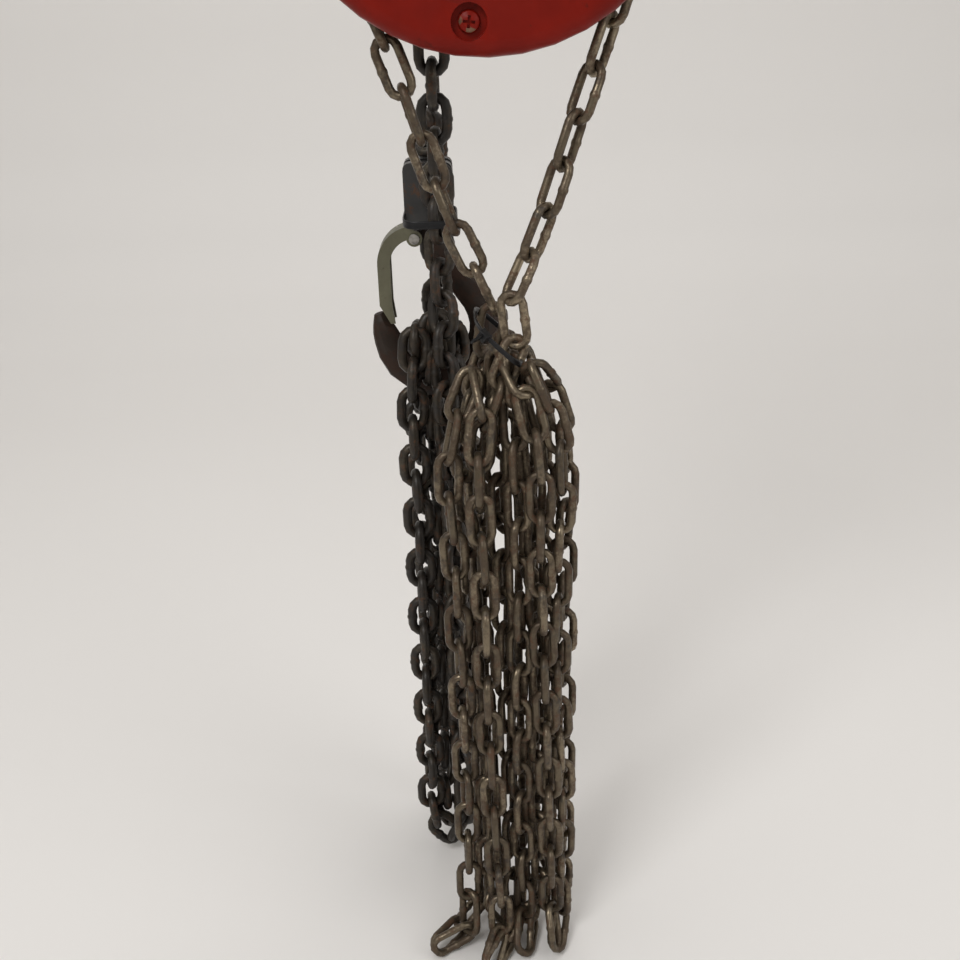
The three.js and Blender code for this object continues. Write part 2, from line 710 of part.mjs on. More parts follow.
function gearSupportPlate() {
  const reach = centreDistance + 13;
  const rise = pillarZ + 5.5;
  let plate = plateY(roundedShape([
    [-reach, -14], [-12, -rise], [12, -rise], [reach, -14],
    [reach, 14], [12, rise], [-12, rise], [-reach, 14],
  ], 6), ...supportPlate, 3);
  [-1, 1].forEach((side) => {
    plate = plate.add(rodY(5, plateOuter + GAP, supportPlate[0] + 1, 0, side * pillarZ, 14));
  });
  [-1, 0, 1].forEach((side) => {
    const x = side * centreDistance;
    plate = plate.subtract(rodY(JOURNAL_R + PINHOLE, supportPlate[0] - 1, supportPlate[1] + 1, x, 0, 16));
  });
  return plate.translate([0, 0, AXIS_Z]);
}

const gearCoverEars = [
  [0, gearCoverHalfZ + 5],
  [-gearCoverHalfX * 0.55, -gearCoverHalfZ - 5],
  [gearCoverHalfX * 0.55, -gearCoverHalfZ - 5],
];

function gearCover() {
  const halfX = gearCoverHalfX;
  const halfZ = gearCoverHalfZ;
  const y0 = plateOuter + GAP;
  const y1 = supportPlate[1] + 3 + GEAR_COVER_WALL;
  const outline = (inset) => {
    const x = halfX - inset;
    const z = halfZ - inset;
    return roundedRectangle(-x, x, -z, z, GEAR_COVER_CORNER_R);
  };
  let body = plateY(outline(0), y0, y1 - 3, 5).add(plateY(outline(3), y1 - 4, y1, 5));
  gearCoverEars.forEach(([x, z]) => {
    body = body.add(rodY(8, y0, y0 + 3, x, z, 16));
  });
  body = body.subtract(plateY(outline(GEAR_COVER_WALL), y0 - 1, y1 - GEAR_COVER_WALL - 3, 5));
  body = body.subtract(plateY(outline(GEAR_COVER_WALL + 3), y0 - 1, y1 - GEAR_COVER_WALL, 5));
  gearCoverEars.forEach(([x, z]) => {
    body = body.subtract(rodY(2 + PINHOLE, y0 - 1, y0 + 4, x, z, 12));
  });
  return body.translate([0, 0, AXIS_Z]);
}

function gearCoverScrew([x, z]) {
  const seat = plateOuter + GAP + 3;
  const shank = rodY(2, plateOuter + GAP, seat + 1, x, z, 12);
  const head = hexY(4, seat + GAP, seat + 3.5, x, z);
  return shank.add(head).translate([0, 0, AXIS_Z]);
}

// ---------- brake and hand wheel ----------

function driveShaft() {
  const thread = SHAFT_R - 2;
  const shaft = turned([
    [0, wheelFront - 9], [thread - 0.8, wheelFront - 9], [thread, wheelFront - 8], [thread, wheelFront - GAP],
    [SHAFT_R, wheelFront - GAP], [SHAFT_R, secondStage[0] - 1], [pinionRootR - GAP, secondStage[0] - 1],
    [pinionRootR - GAP, secondStage[0] + 1], [0, secondStage[0] + 1],
  ], 24);
  const pinion = spurGear(PINION_TEETH, ...secondStage, drivePhase);
  const journal = rodY(JOURNAL_R, secondStage[1] - 1, supportPlate[1], 0, 0, 16);
  return shaft.add(pinion).add(journal).translate([0, 0, AXIS_Z]);
}

function frictionHub() {
  const bore = SHAFT_R + PINHOLE;
  return turned([
    [bore, frontDiscFront], [SLEEVE_R, frontDiscFront], [SLEEVE_R, hubFront], [FRICTION_R + 1, hubFront],
    [FRICTION_R + 1, hubBack - 3], [FRICTION_R - 9, hubBack], [bore, hubBack],
  ], 32).translate([0, 0, AXIS_Z]);
}

function frictionDisc(y0) {
  return ringY(SLEEVE_R + PINHOLE, FRICTION_R, y0, y0 + FRICTION_T, 32).translate([0, 0, AXIS_Z]);
}

function ratchetDisc() {
  const points = [];
  for (let i = 0; i < RATCHET_TEETH; i += 1) {
    const face = Math.PI + (2 * Math.PI * i) / RATCHET_TEETH;
    points.push([RATCHET_ROOT_R * Math.cos(face), RATCHET_ROOT_R * Math.sin(face)]);
    points.push([RATCHET_R * Math.cos(face), RATCHET_R * Math.sin(face)]);
    const blunt = face + Math.PI / RATCHET_TEETH / 3;
    points.push([RATCHET_R * Math.cos(blunt), RATCHET_R * Math.sin(blunt)]);
  }
  const disc = plateY(polygon(points), ratchetFront, ratchetFront + RATCHET_T);
  const bore = rodY(SLEEVE_R + PINHOLE, ratchetFront - 1, ratchetFront + RATCHET_T + 1, 0, 0, 32);
  return disc.subtract(bore).translate([0, 0, AXIS_Z]);
}

const pawlBack = ratchetFront + RATCHET_T + GAP;

// A pawl whose nose rests in a tooth gap. The second one is the first turned half round the axis.
function pawl(side) {
  const [px, pz] = PAWL_PIVOT;
  const y0 = ratchetFront - GAP;
  const arm = plateY(polygon([
    [-RATCHET_ROOT_R - 1.4, 0.6], [-RATCHET_R - 1, 0.6], [px - 7, pz - 3], [px + 5, pz + 5],
    [-RATCHET_R + 1, 22], [-RATCHET_R + 0.6, 13.5],
  ]), y0, pawlBack);
  const eye = rodY(8, y0, pawlBack, px, pz, 18);
  const bore = rodY(PAWL_PIN_R + PINHOLE, y0 - 1, pawlBack + 1, px, pz, 16);
  const body = arm.add(eye).subtract(bore);
  return spun(body, side > 0 ? 180 : 0).translate([0, 0, AXIS_Z]);
}

function pawlPin(side) {
  const [px, pz] = PAWL_PIVOT;
  const head = ratchetFront - 3;
  const body = rodY(PAWL_PIN_R, head, -plateInner - GAP, px, pz, 14).add(rodY(6, head - 2, head, px, pz, 14));
  return spun(body, side > 0 ? 180 : 0).translate([0, 0, AXIS_Z]);
}

function pawlSpring(side) {
  const [px, pz] = PAWL_PIVOT;
  const coil = coilY(PAWL_PIN_R + 1.4, 1.1, pawlBack + 0.8, -plateOuter - 0.8, 3).translate([px, 0, pz]);
  return spun(coil, side > 0 ? 180 : 0).translate([0, 0, AXIS_Z]);
}

const wheelRim = wheelRadius + 4;

function handWheel() {
  const bore = SHAFT_R + PINHOLE;
  const seat = wheelRadius - HAND_WIRE / 2 - GAP;
  const groove = wheelRadius - HAND_LINK_WIDTH / 2 - 1;
  const half = HAND_WIRE / 2 + 0.9;
  const inside = HAND_LINK_WIDTH / 2 + 0.5;
  const rimHalf = inside + 2.6;
  const under = groove - 4;
  const m = wheelMid;
  let body = turned([
    [bore, wheelFront], [19, wheelFront], [23, m - 3], [under, m - 3],
    [under, m - rimHalf], [wheelRim, m - rimHalf], [wheelRim, m - inside], [seat, m - inside + 1],
    [seat, m - half], [groove, m - half], [groove, m + half], [seat, m + half], [seat, m + inside - 1],
    [wheelRim, m + inside], [wheelRim, m + rimHalf], [under, m + rimHalf], [under, m + 3],
    [FRICTION_R + 1, m + 3], [FRICTION_R + 1, wheelBack], [bore, wheelBack],
  ], 3 * WHEEL_POCKETS);
  pocketLugs({
    pockets: WHEEL_POCKETS, from: seat - 1, to: wheelRim - 0.8, thick: 11,
    inner: half, outer: inside, middle: wheelMid,
  }).forEach((lug) => {
    body = body.add(lug);
  });
  for (let i = 0; i < 5; i += 1) {
    const hole = rodY(13, m - 5, m + 5, (under + FRICTION_R) / 2, 0, 12);
    body = body.subtract(spun(hole, 72 * i + 36));
  }
  return body.translate([0, 0, AXIS_Z]);
}

function shaftNut() {
  const nut = hexY(11, wheelFront - 7, wheelFront - GAP);
  const bore = rodY(SHAFT_R - 2 + PINHOLE, wheelFront - 8, wheelFront, 0, 0, 16);
  return nut.subtract(bore).translate([0, 0, AXIS_Z]);
}


function handWheelCover() {
  const wall = COVER_WALL;
  const r = COVER_R;
  const y = coverFront;
  const edge = COVER_EDGE_R;
  const crease = r * 0.773;
  const arc = (radius, count) => Array.from({ length: count + 1 }, (_, i) => {
    const turn = (Math.PI / 2) * (i / count);
    return [r - edge + radius * Math.sin(turn), y + edge - radius * Math.cos(turn)];
  });
  const back = y + COVER_DEPTH;
  let body = turned([
    [0, y - 1.5], [crease - 3, y - 1.5], [crease, y], ...arc(edge, 3), [r, back],
    [r - wall, back], ...arc(edge - wall, 3).reverse(), [crease, y + wall], [crease - 3, y + wall - 1.5],
    [0, y + wall - 1.5],
  ], 40);
  const mouth = box(-r - 1, r + 1, y + COVER_LIP, back + 1, -r - 1, -COVER_MOUTH_DROP);
  body = body.subtract(mouth);
  coverScrewAngles.forEach((angle) => {
    const cup = rodY(RECESS_R + wall, y + wall / 2, y + RECESS_DEPTH + wall, COVER_SCREW_R, 0, 20);
    const well = rodY(RECESS_R, y - 1, y + RECESS_DEPTH, COVER_SCREW_R, 0, 20);
    const hole = rodY(2.5 + PINHOLE, y - 1, y + RECESS_DEPTH + wall + 1, COVER_SCREW_R, 0, 12);
    body = body.add(spun(cup, angle)).subtract(spun(well, angle)).subtract(spun(hole, angle));
  });
  return body.translate([0, 0, AXIS_Z]);
}

function coverScrew(angle) {
  const seat = coverFront + RECESS_DEPTH;
  const head = turned([
    [0, seat - 4], [3, seat - 3.6], [5, seat - 2.4], [5.8, seat - GAP], [0, seat - GAP],
  ], 14);
  const shank = rodY(2.5, seat - GAP - 0.5, armLipFront + ARM_T, 0, 0, 12);
  const slot = box(-3, 3, seat - 5, seat - 2.2, -0.7, 0.7).add(box(-0.7, 0.7, seat - 5, seat - 2.2, -3, 3));
  const screw = head.add(shank).subtract(slot).translate([COVER_SCREW_R, 0, 0]);
  return spun(screw, angle).translate([0, 0, AXIS_Z]);
}

// ---------- load hook ----------

const loadNeckZ = LOAD_HOOK_Z + 60;
const loadYokeBottom = LOAD_HOOK_Z + 70;
const loadHeadZ = loadYokeBottom + 9;
const loadPinZ = loadYokeBottom + 28;
const loadYokeTop = loadPinZ + LOAD_PIN_R + 5;

function loadHook() {
  const bar = hookBar({
    bowl: LOAD_HOOK_BOWL_R,
    section: LOAD_HOOK_SECTION,
    neckR: LOAD_HOOK_NECK_R,
    neckZ: loadNeckZ - LOAD_HOOK_Z,
    shankEnd: loadHeadZ - LOAD_HOOK_Z + 2,
    tipRise: 11,
    tipHalf: 3.2,
  });
  const head = rodZ(LOAD_HOOK_NECK_R + 2.5, loadHeadZ - LOAD_HOOK_Z, loadHeadZ - LOAD_HOOK_Z + 7);
  return atLoadHook(addLug(bar, loadLatch).add(head));
}

function loadYoke() {
  const half = LOAD_YOKE_HALF;
  const side = LOAD_YOKE_SIDE;
  const block = plateY(roundedRectangle(-half, half, loadYokeBottom, loadYokeTop, 5), -side, side, 4);
  const chamber = box(-half - 1, half + 1, -8.9, 8.9, loadHeadZ - GAP, loadHeadZ + 7 + GAP);
  const shankBore = rodZ(LOAD_HOOK_NECK_R + PINHOLE, loadYokeBottom - 1, loadHeadZ + 1);
  const slotHalf = LOAD_WIRE / 2 + 0.6;
  const linkSlot = box(-half - 1, half + 1, -slotHalf, slotHalf, loadPinZ - 8, loadYokeTop + 1);
  const pinBore = rodY(LOAD_PIN_R + PINHOLE, -side - 1, side + 1, 0, loadPinZ, 14);
  return block.subtract(chamber).subtract(shankBore).subtract(linkSlot).subtract(pinBore)
    .translate([LOAD_HOOK_X, LOAD_HOOK_Y, 0]);
}

function loadChainPin() {
  const side = LOAD_YOKE_SIDE;
  return rodY(LOAD_PIN_R, -side, side, 0, loadPinZ, 14).translate([LOAD_HOOK_X, LOAD_HOOK_Y, 0]);
}

// ---------- chains ----------

const sheaveX = -sheaveRadius;

function handChainRun(side) {
  const left = [
    [-63.5, -57, -268], [-57, -58, -284], [-49, -60, -303],
    [-34, -63, -349], [-16, -66, -397], [0, -66, -431],
  ];
  const right = [
    [67.5, -57, -270], [63, -58.5, -284], [46, -65, -330],
    [27, -73, -383], [9, -81, -422], [4, -84, -431],
  ];
  return tube(side < 0 ? left : right, HAND_LINK_WIDTH, 12, 10);
}

function handChainHank() {
  const { x0, x1, y0, y1 } = HAND_NECK;
  const neck = plateZ(roundedRectangle(x0, x1, y0, y1, HAND_NECK_CORNER_R), -460, -436, 5);
  const strands = plateZ(roundedRectangle(-34, 46, -118, -50, 22), -862, -452, 5);
  const foot = plateZ(roundedRectangle(-56, 52, -144, -48, 26), -875, -846, 5);
  return neck.add(strands).add(foot);
}

function loadChainRun() {
  return tube([[sheaveX, 0, -246], [sheaveX, 0, -290], [sheaveX, -1, -340], [sheaveX, -2, -390],
    [sheaveX, -3, -436]], LOAD_LINK_WIDTH, 8, 10);
}

function loadChainHank() {
  const front = plateZ(roundedRectangle(-64, -10, -24, 11, 12), -872, -437, 4);
  const back = plateZ(roundedRectangle(-62, -8, 37, 66, 12), -872, -452, 4);
  const saddle = new THREE.Shape();
  saddle.absarc(LOAD_HOOK_X, LOAD_HOOK_Z, LOAD_HOOK_BOWL_R - 2, Math.PI, 2 * Math.PI, false);
  saddle.closePath();
  return front.add(back).add(plateY(saddle, 5, 40));
}

function loadChainEnd() {
  const x = LOAD_HOOK_X;
  const y = LOAD_HOOK_Y;
  const points = [
    [x, y, loadYokeTop + 11.5], [x + 1, y + 8, loadYokeTop + 22], [x + 3, y + 20, loadYokeTop + 18],
    [x + 3, y + 27, loadYokeTop], [x + 2, y + 28, -400], [x + 2, y + 28, -425], [x + 2, y + 28, -451],
  ];
  return tube(points, LOAD_LINK_WIDTH, 14, 10);
}

// A flat nylon strap closed round a rectangle between two corners.
function tieRing(x0, x1, y0, y1, radius, z) {
  const ring = (grow) => roundedRectangle(x0 - grow, x1 + grow, y0 - grow, y1 + grow, radius + grow);
  const strap = plateZ(ring(TIE_T), z - TIE_WIDTH / 2, z + TIE_WIDTH / 2, 5);
  return strap.subtract(plateZ(ring(0), z - TIE_WIDTH, z + TIE_WIDTH, 5));
}

// The tie round the hand chain's neck, with its head in front.
function handChainTie() {
  const { x0, x1, y0, y1 } = HAND_NECK;
  const ring = tieRing(x0 - GAP, x1 + GAP, y0 - GAP, y1 + GAP, HAND_NECK_CORNER_R, TIE_Z);
  return ring.add(box(x0 + 3, x0 + 9, y0 - GAP - 6, y0 - GAP - TIE_T / 2, TIE_Z - 4, TIE_Z + 4));
}

// The tie that lashes the load yoke to the running strand in front of it.
function yokeTie() {
  const front = -LOAD_LINK_WIDTH / 2 - 3;
  const back = LOAD_HOOK_Y + LOAD_YOKE_SIDE + GAP;
  const z = loadYokeBottom + 4.5;
  const left = LOAD_HOOK_X - LOAD_YOKE_HALF - 2 * GAP;
  const right = sheaveX + LOAD_LINK_WIDTH / 2 + 2 * GAP;
  return tieRing(left, right, front, back, 0.5, z);
}

// ---------- assembly ----------

const topLatch = { pivot: [-TOP_HOOK_NECK_R - 4, 36], reach: 18, drop: 20, cheek: TOP_HOOK_NECK_R };
const loadLatch = { pivot: [-LOAD_HOOK_NECK_R - 4, 60], reach: 24, drop: 38, cheek: LOAD_HOOK_NECK_R };

// Puts a piece of the load hook's latch, made about the bowl's centre, in its place.
function atLoadHook(body) {
  return body.translate([LOAD_HOOK_X, LOAD_HOOK_Y, LOAD_HOOK_Z]);
}

// The same for the top hook, which hangs the other way up.
function atTopHook(body) {
  return body.rotate([180, 0, 0]).translate([0, 0, topBowlZ]);
}

add("top_hook", topHook(), "hook_forging");
add("top_latch", atTopHook(latchBody(topLatch)), "latch_plate");
add("top_latch_pin", atTopHook(latchPin(topLatch)), "machined_steel");
add("top_latch_spring", atTopHook(latchSpring(topLatch)), "machined_steel");
add("top_yoke", topYoke(), "dark_frame");
add("top_pin", platePin(TOP_PIN_R, TOP_PIN_R + 3, 0, TOP_PIN_Z), "machined_steel");

add("front_side_plate", frontSidePlate(), "dark_frame");
add("rear_side_plate", rearSidePlate(), "dark_frame");
["left_stay", "right_stay", "bottom_stay"].forEach((name, i) => {
  add(name, stay(stays[i]), "machined_steel");
});
add("load_sheave", loadSheave(), "cast_wheel");
add("front_sheave_bearing", sheaveBearing(true), "machined_steel");
add("rear_sheave_bearing", sheaveBearing(false), "machined_steel");
add("load_gear", loadGear(), "machined_steel");
add("gear_support_plate", gearSupportPlate(), "dark_frame");
add("gear_cover", gearCover(), "red_paint");
gearCoverEars.forEach((place, i) => {
  add(`gear_cover_screw_${i + 1}`, gearCoverScrew(place), "machined_steel");
});
add("chain_stripper", chainStripper(), "cast_wheel");
add("dead_end_pin", platePin(LOAD_PIN_R, LOAD_PIN_R + 2, sheaveRadius, deadEndZ), "machined_steel");

add("drive_shaft", driveShaft(), "machined_steel");
add("friction_hub", frictionHub(), "cast_wheel");
add("rear_friction_disc", frictionDisc(backDiscFront), "friction_lining");
add("ratchet_disc", ratchetDisc(), "machined_steel");
add("front_friction_disc", frictionDisc(frontDiscFront), "friction_lining");
add("hand_wheel", handWheel(), "cast_wheel");
add("shaft_nut", shaftNut(), "machined_steel");
add("hand_wheel_cover", handWheelCover(), "red_paint");
coverScrewAngles.forEach((angle, i) => {
  add(`cover_screw_${i + 1}`, coverScrew(angle), "red_paint");
});

[["left", -1], ["right", 1]].forEach(([word, side]) => {
  add(`${word}_intermediate_gear`, intermediateGear(side), "machined_steel");
  add(`${word}_guide_roller`, guideRoller(side), "machined_steel");
  const rollerPin = platePin(ROLLER_PIN_R, ROLLER_PIN_R + 2, side * rollerX, rollerZ);
  add(`${word}_roller_pin`, rollerPin, "machined_steel");
  add(`${word}_pawl`, pawl(side), "machined_steel");
  add(`${word}_pawl_pin`, pawlPin(side), "machined_steel");
  add(`${word}_pawl_spring`, pawlSpring(side), "machined_steel");
  add(`hand_chain_${word}_run`, handChainRun(side), "hand_chain");
});

add("load_yoke", loadYoke(), "dark_frame");
add("load_chain_pin", loadChainPin(), "machined_steel");
add("load_hook", loadHook(), "hook_forging");
add("load_latch", atLoadHook(latchBody(loadLatch)), "latch_plate");
add("load_latch_pin", atLoadHook(latchPin(loadLatch)), "machined_steel");
add("load_latch_spring", atLoadHook(latchSpring(loadLatch)), "machined_steel");

add("hand_chain_hank", handChainHank(), "hand_chain");
add("hand_chain_tie", handChainTie(), "black_nylon");
add("load_chain_run", loadChainRun(), "load_chain");
add("load_chain_hank", loadChainHank(), "load_chain");
add("load_chain_end", loadChainEnd(), "load_chain");
add("yoke_tie", yokeTie(), "black_nylon");

export default hoist;
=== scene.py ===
"""Hand chain hoist, hung up by its top hook, with its chains gathered and tied.

Metres, in the CAD part's own frame: +Z is up and the hand wheel cover faces -Y.
"""

import json
import logging
import math
import random
from dataclasses import dataclass, field
from enum import Enum
from typing import Any

import bpy
from mathutils import Matrix, Vector


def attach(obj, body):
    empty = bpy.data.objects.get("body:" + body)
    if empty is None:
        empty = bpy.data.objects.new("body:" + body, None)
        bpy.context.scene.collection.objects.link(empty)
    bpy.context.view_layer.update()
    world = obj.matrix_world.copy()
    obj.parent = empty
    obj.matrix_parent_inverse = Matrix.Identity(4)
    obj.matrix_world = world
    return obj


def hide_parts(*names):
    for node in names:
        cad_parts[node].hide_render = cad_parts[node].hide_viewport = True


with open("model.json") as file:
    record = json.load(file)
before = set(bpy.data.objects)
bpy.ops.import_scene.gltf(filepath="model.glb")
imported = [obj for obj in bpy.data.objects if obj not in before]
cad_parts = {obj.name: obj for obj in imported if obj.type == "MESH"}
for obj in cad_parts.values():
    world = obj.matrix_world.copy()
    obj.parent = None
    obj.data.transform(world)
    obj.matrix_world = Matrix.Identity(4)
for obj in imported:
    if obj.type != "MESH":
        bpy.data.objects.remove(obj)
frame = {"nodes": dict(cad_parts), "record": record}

LOG = logging.getLogger("chain_hoist")
MM = 0.001
EDGE_ROUND = 0.45 * MM  # rounding of the CAD solids' edges
SHARP_ANGLE = math.radians(34)  # edges sharper than this are rounded or split
WELD_REACH = 0.02 * MM  # corners nearer than this are one corner
COAT_ROUGHNESS = 0.12
BUMP_DEPTH = 0.6 * MM

Point = tuple[float, float, float]
Colour = tuple[float, float, float]


# ---------- named options ----------


class Face(Enum):
    """Which way a chain's first link faces, in degrees about the chain's line."""

    FRONT = 0.0
    SIDE = 90.0
    ANGLED = 45.0


class Shading(Enum):
    """How the edges of a CAD solid are finished for rendering."""

    ROUNDED = "rounded"
    CRISP = "crisp"


# ---------- shader nodes ----------


def feed(tree: bpy.types.NodeTree, node: bpy.types.Node, inputs: dict[str | int, Any]) -> None:
    """Fills a node's inputs.

    Args:
        tree: The tree that it is in.
        node: The node.
        inputs: For each input, the socket that it is joined to or its own value.
    """
    for name, value in inputs.items():
        if isinstance(value, bpy.types.NodeSocket):
            tree.links.new(value, node.inputs[name])
        else:
            node.inputs[name].default_value = value


def add_node(
    tree: bpy.types.NodeTree,
    kind: str,
    inputs: dict[str | int, Any] | None = None,
    **options: Any,
) -> bpy.types.Node:
    """Adds a shader node with its options and inputs.

    Args:
        tree: The tree that it goes in.
        kind: The node's type.
        inputs: For each input, the socket that it is joined to or its own value.
        options: The node's own settings.

    Returns:
        The node.
    """
    node = tree.nodes.new(kind)
    for option, value in options.items():
        setattr(node, option, value)
    feed(tree, node, inputs or {})
    return node


def calculate(tree: bpy.types.NodeTree, operation: str, *numbers: Any) -> bpy.types.NodeSocket:
    """The outcome of a Math node on sockets or plain numbers."""
    return add_node(tree, "ShaderNodeMath", dict(enumerate(numbers)), operation=operation).outputs[0]


def object_place(tree: bpy.types.NodeTree) -> bpy.types.NodeSocket:
    """The object's own coordinates."""
    return add_node(tree, "ShaderNodeTexCoord").outputs["Object"]


class NodeGroups:
    """Surface effects that several finishes share, each built once as a node group."""

    def __init__(self) -> None:
        """Builds every group."""
        self.film = self._film()
        self.grain = self._grain()
        self.worn_edge = self._worn_edge()

    @staticmethod
    def _group(name: str, inputs: dict[str, float], output: str) -> bpy.types.NodeTree:
        """Makes an empty group with number sockets.

        Args:
            name: The group's name.
            inputs: Each input and its default.
            output: The output's name.

        Returns:
            The node tree.
        """
        tree = bpy.data.node_groups.new(name, "ShaderNodeTree")
        for label, value in inputs.items():
            socket = tree.interface.new_socket(label, in_out="INPUT", socket_type="NodeSocketFloat")
            socket.default_value = value
        tree.interface.new_socket(output, in_out="OUTPUT", socket_type="NodeSocketFloat")
        tree.nodes.new("NodeGroupInput").name = "In"
        tree.nodes.new("NodeGroupOutput").name = "Out"
        return tree

    @staticmethod
    def _put_mask(tree: bpy.types.NodeTree, value: Any, low: Any, high: Any) -> None:
        """Puts out, as Mask, how far a value has risen from one level to another.

        Args:
            tree: The group's tree.
            value: The value's socket.
            low: The socket of the level where the mask starts.
            high: The socket of the level where it is full.
        """
        levels = {"Value": value, "From Min": low, "From Max": high}
        cut = add_node(tree, "ShaderNodeMapRange", levels, interpolation_type="SMOOTHSTEP")
        tree.links.new(cut.outputs["Result"], tree.nodes["Out"].inputs["Mask"])

    def _film(self) -> bpy.types.NodeTree:
        """Patches of a film such as rust, grease or dirt: two noises, cut off at a chosen cover.

        Returns:
            A group with inputs Scale, Cover, Softness and Shift, and the output Mask.
        """
        defaults = {"Scale": 60.0, "Cover": 0.5, "Softness": 0.12, "Shift": 0.0}
        tree = self._group("film_patches", defaults, "Mask")
        given = tree.nodes["In"].outputs
        shift = {0: object_place(tree), 1: given["Shift"]}
        moved = add_node(tree, "ShaderNodeVectorMath", shift, operation="ADD").outputs["Vector"]
        broad = {"Vector": moved, "Scale": given["Scale"], "Detail": 6.0, "Roughness": 0.62}
        finer = calculate(tree, "MULTIPLY", given["Scale"], 5.3)
        fine = {"Vector": moved, "Scale": finer, "Detail": 4.0}
        broad_noise = add_node(tree, "ShaderNodeTexNoise", broad).outputs[0]
        fine_noise = add_node(tree, "ShaderNodeTexNoise", fine).outputs[0]
        both = add_node(tree, "ShaderNodeMix", {0: 0.3, 2: broad_noise, 3: fine_noise}).outputs[0]
        low = calculate(tree, "SUBTRACT", 0.98, given["Cover"])
        high = calculate(tree, "ADD", low, given["Softness"])
        self._put_mask(tree, both, low, high)
        return tree

    def _grain(self) -> bpy.types.NodeTree:
        """Fine pitting and forging scale, as a height.

        Returns:
            A group with inputs Scale and Pits, and the output Height.
        """
        tree = self._group("pitted_grain", {"Scale": 400.0, "Pits": 0.5}, "Height")
        given = tree.nodes["In"].outputs
        place = object_place(tree)
        scaled = {"Vector": place, "Scale": given["Scale"], "Detail": 5.0, "Roughness": 0.6}
        noise = add_node(tree, "ShaderNodeTexNoise", scaled).outputs[0]
        pitted = {"Vector": place, "Scale": calculate(tree, "MULTIPLY", given["Scale"], 0.6)}
        cells = add_node(tree, "ShaderNodeTexVoronoi", pitted, feature="SMOOTH_F1")
        parts = {0: given["Pits"], 2: noise, 3: cells.outputs["Distance"]}
        blend = add_node(tree, "ShaderNodeMix", parts)
        tree.links.new(blend.outputs[0], tree.nodes["Out"].inputs["Height"])
        return tree

    def _worn_edge(self) -> bpy.types.NodeTree:
        """Edges rubbed bare, broken up by noise.

        Returns:
            A group with inputs Start, Reach and Scale, and the output Mask.
        """
        tree = self._group("worn_edge", {"Start": 0.53, "Reach": 0.05, "Scale": 90.0}, "Mask")
        given = tree.nodes["In"].outputs
        scaled = {"Vector": object_place(tree), "Scale": given["Scale"], "Detail": 4.0}
        noise = add_node(tree, "ShaderNodeTexNoise", scaled).outputs[0]
        sharp = add_node(tree, "ShaderNodeNewGeometry").outputs["Pointiness"]
        sway = calculate(tree, "MULTIPLY_ADD", noise, 0.12, sharp)
        start = calculate(tree, "ADD", given["Start"], 0.06)
        end = calculate(tree, "ADD", start, given["Reach"])
        self._put_mask(tree, sway, start, end)
        return tree


# ---------- finishes ----------


@dataclass(frozen=True)
class Layer:
    """A film that lies over a finish in patches.

    Attributes:
        colour: Its colour.
        roughness: Its roughness.
        metallic: How metallic it looks.
        scale: How many patches there are to a metre, roughly.
        cover: How much of the surface it covers, from 0 to 1.
        softness: How gradual its edges are.
        strength: How much of the finish below it hides.
        shift: Moves the patches, so that two layers don't coincide.
    """

    colour: Colour
    roughness: float
    metallic: float = 0.0
    scale: float = 60.0
    cover: float = 0.5
    softness: float = 0.12
    strength: float = 1.0
    shift: float = 0.0


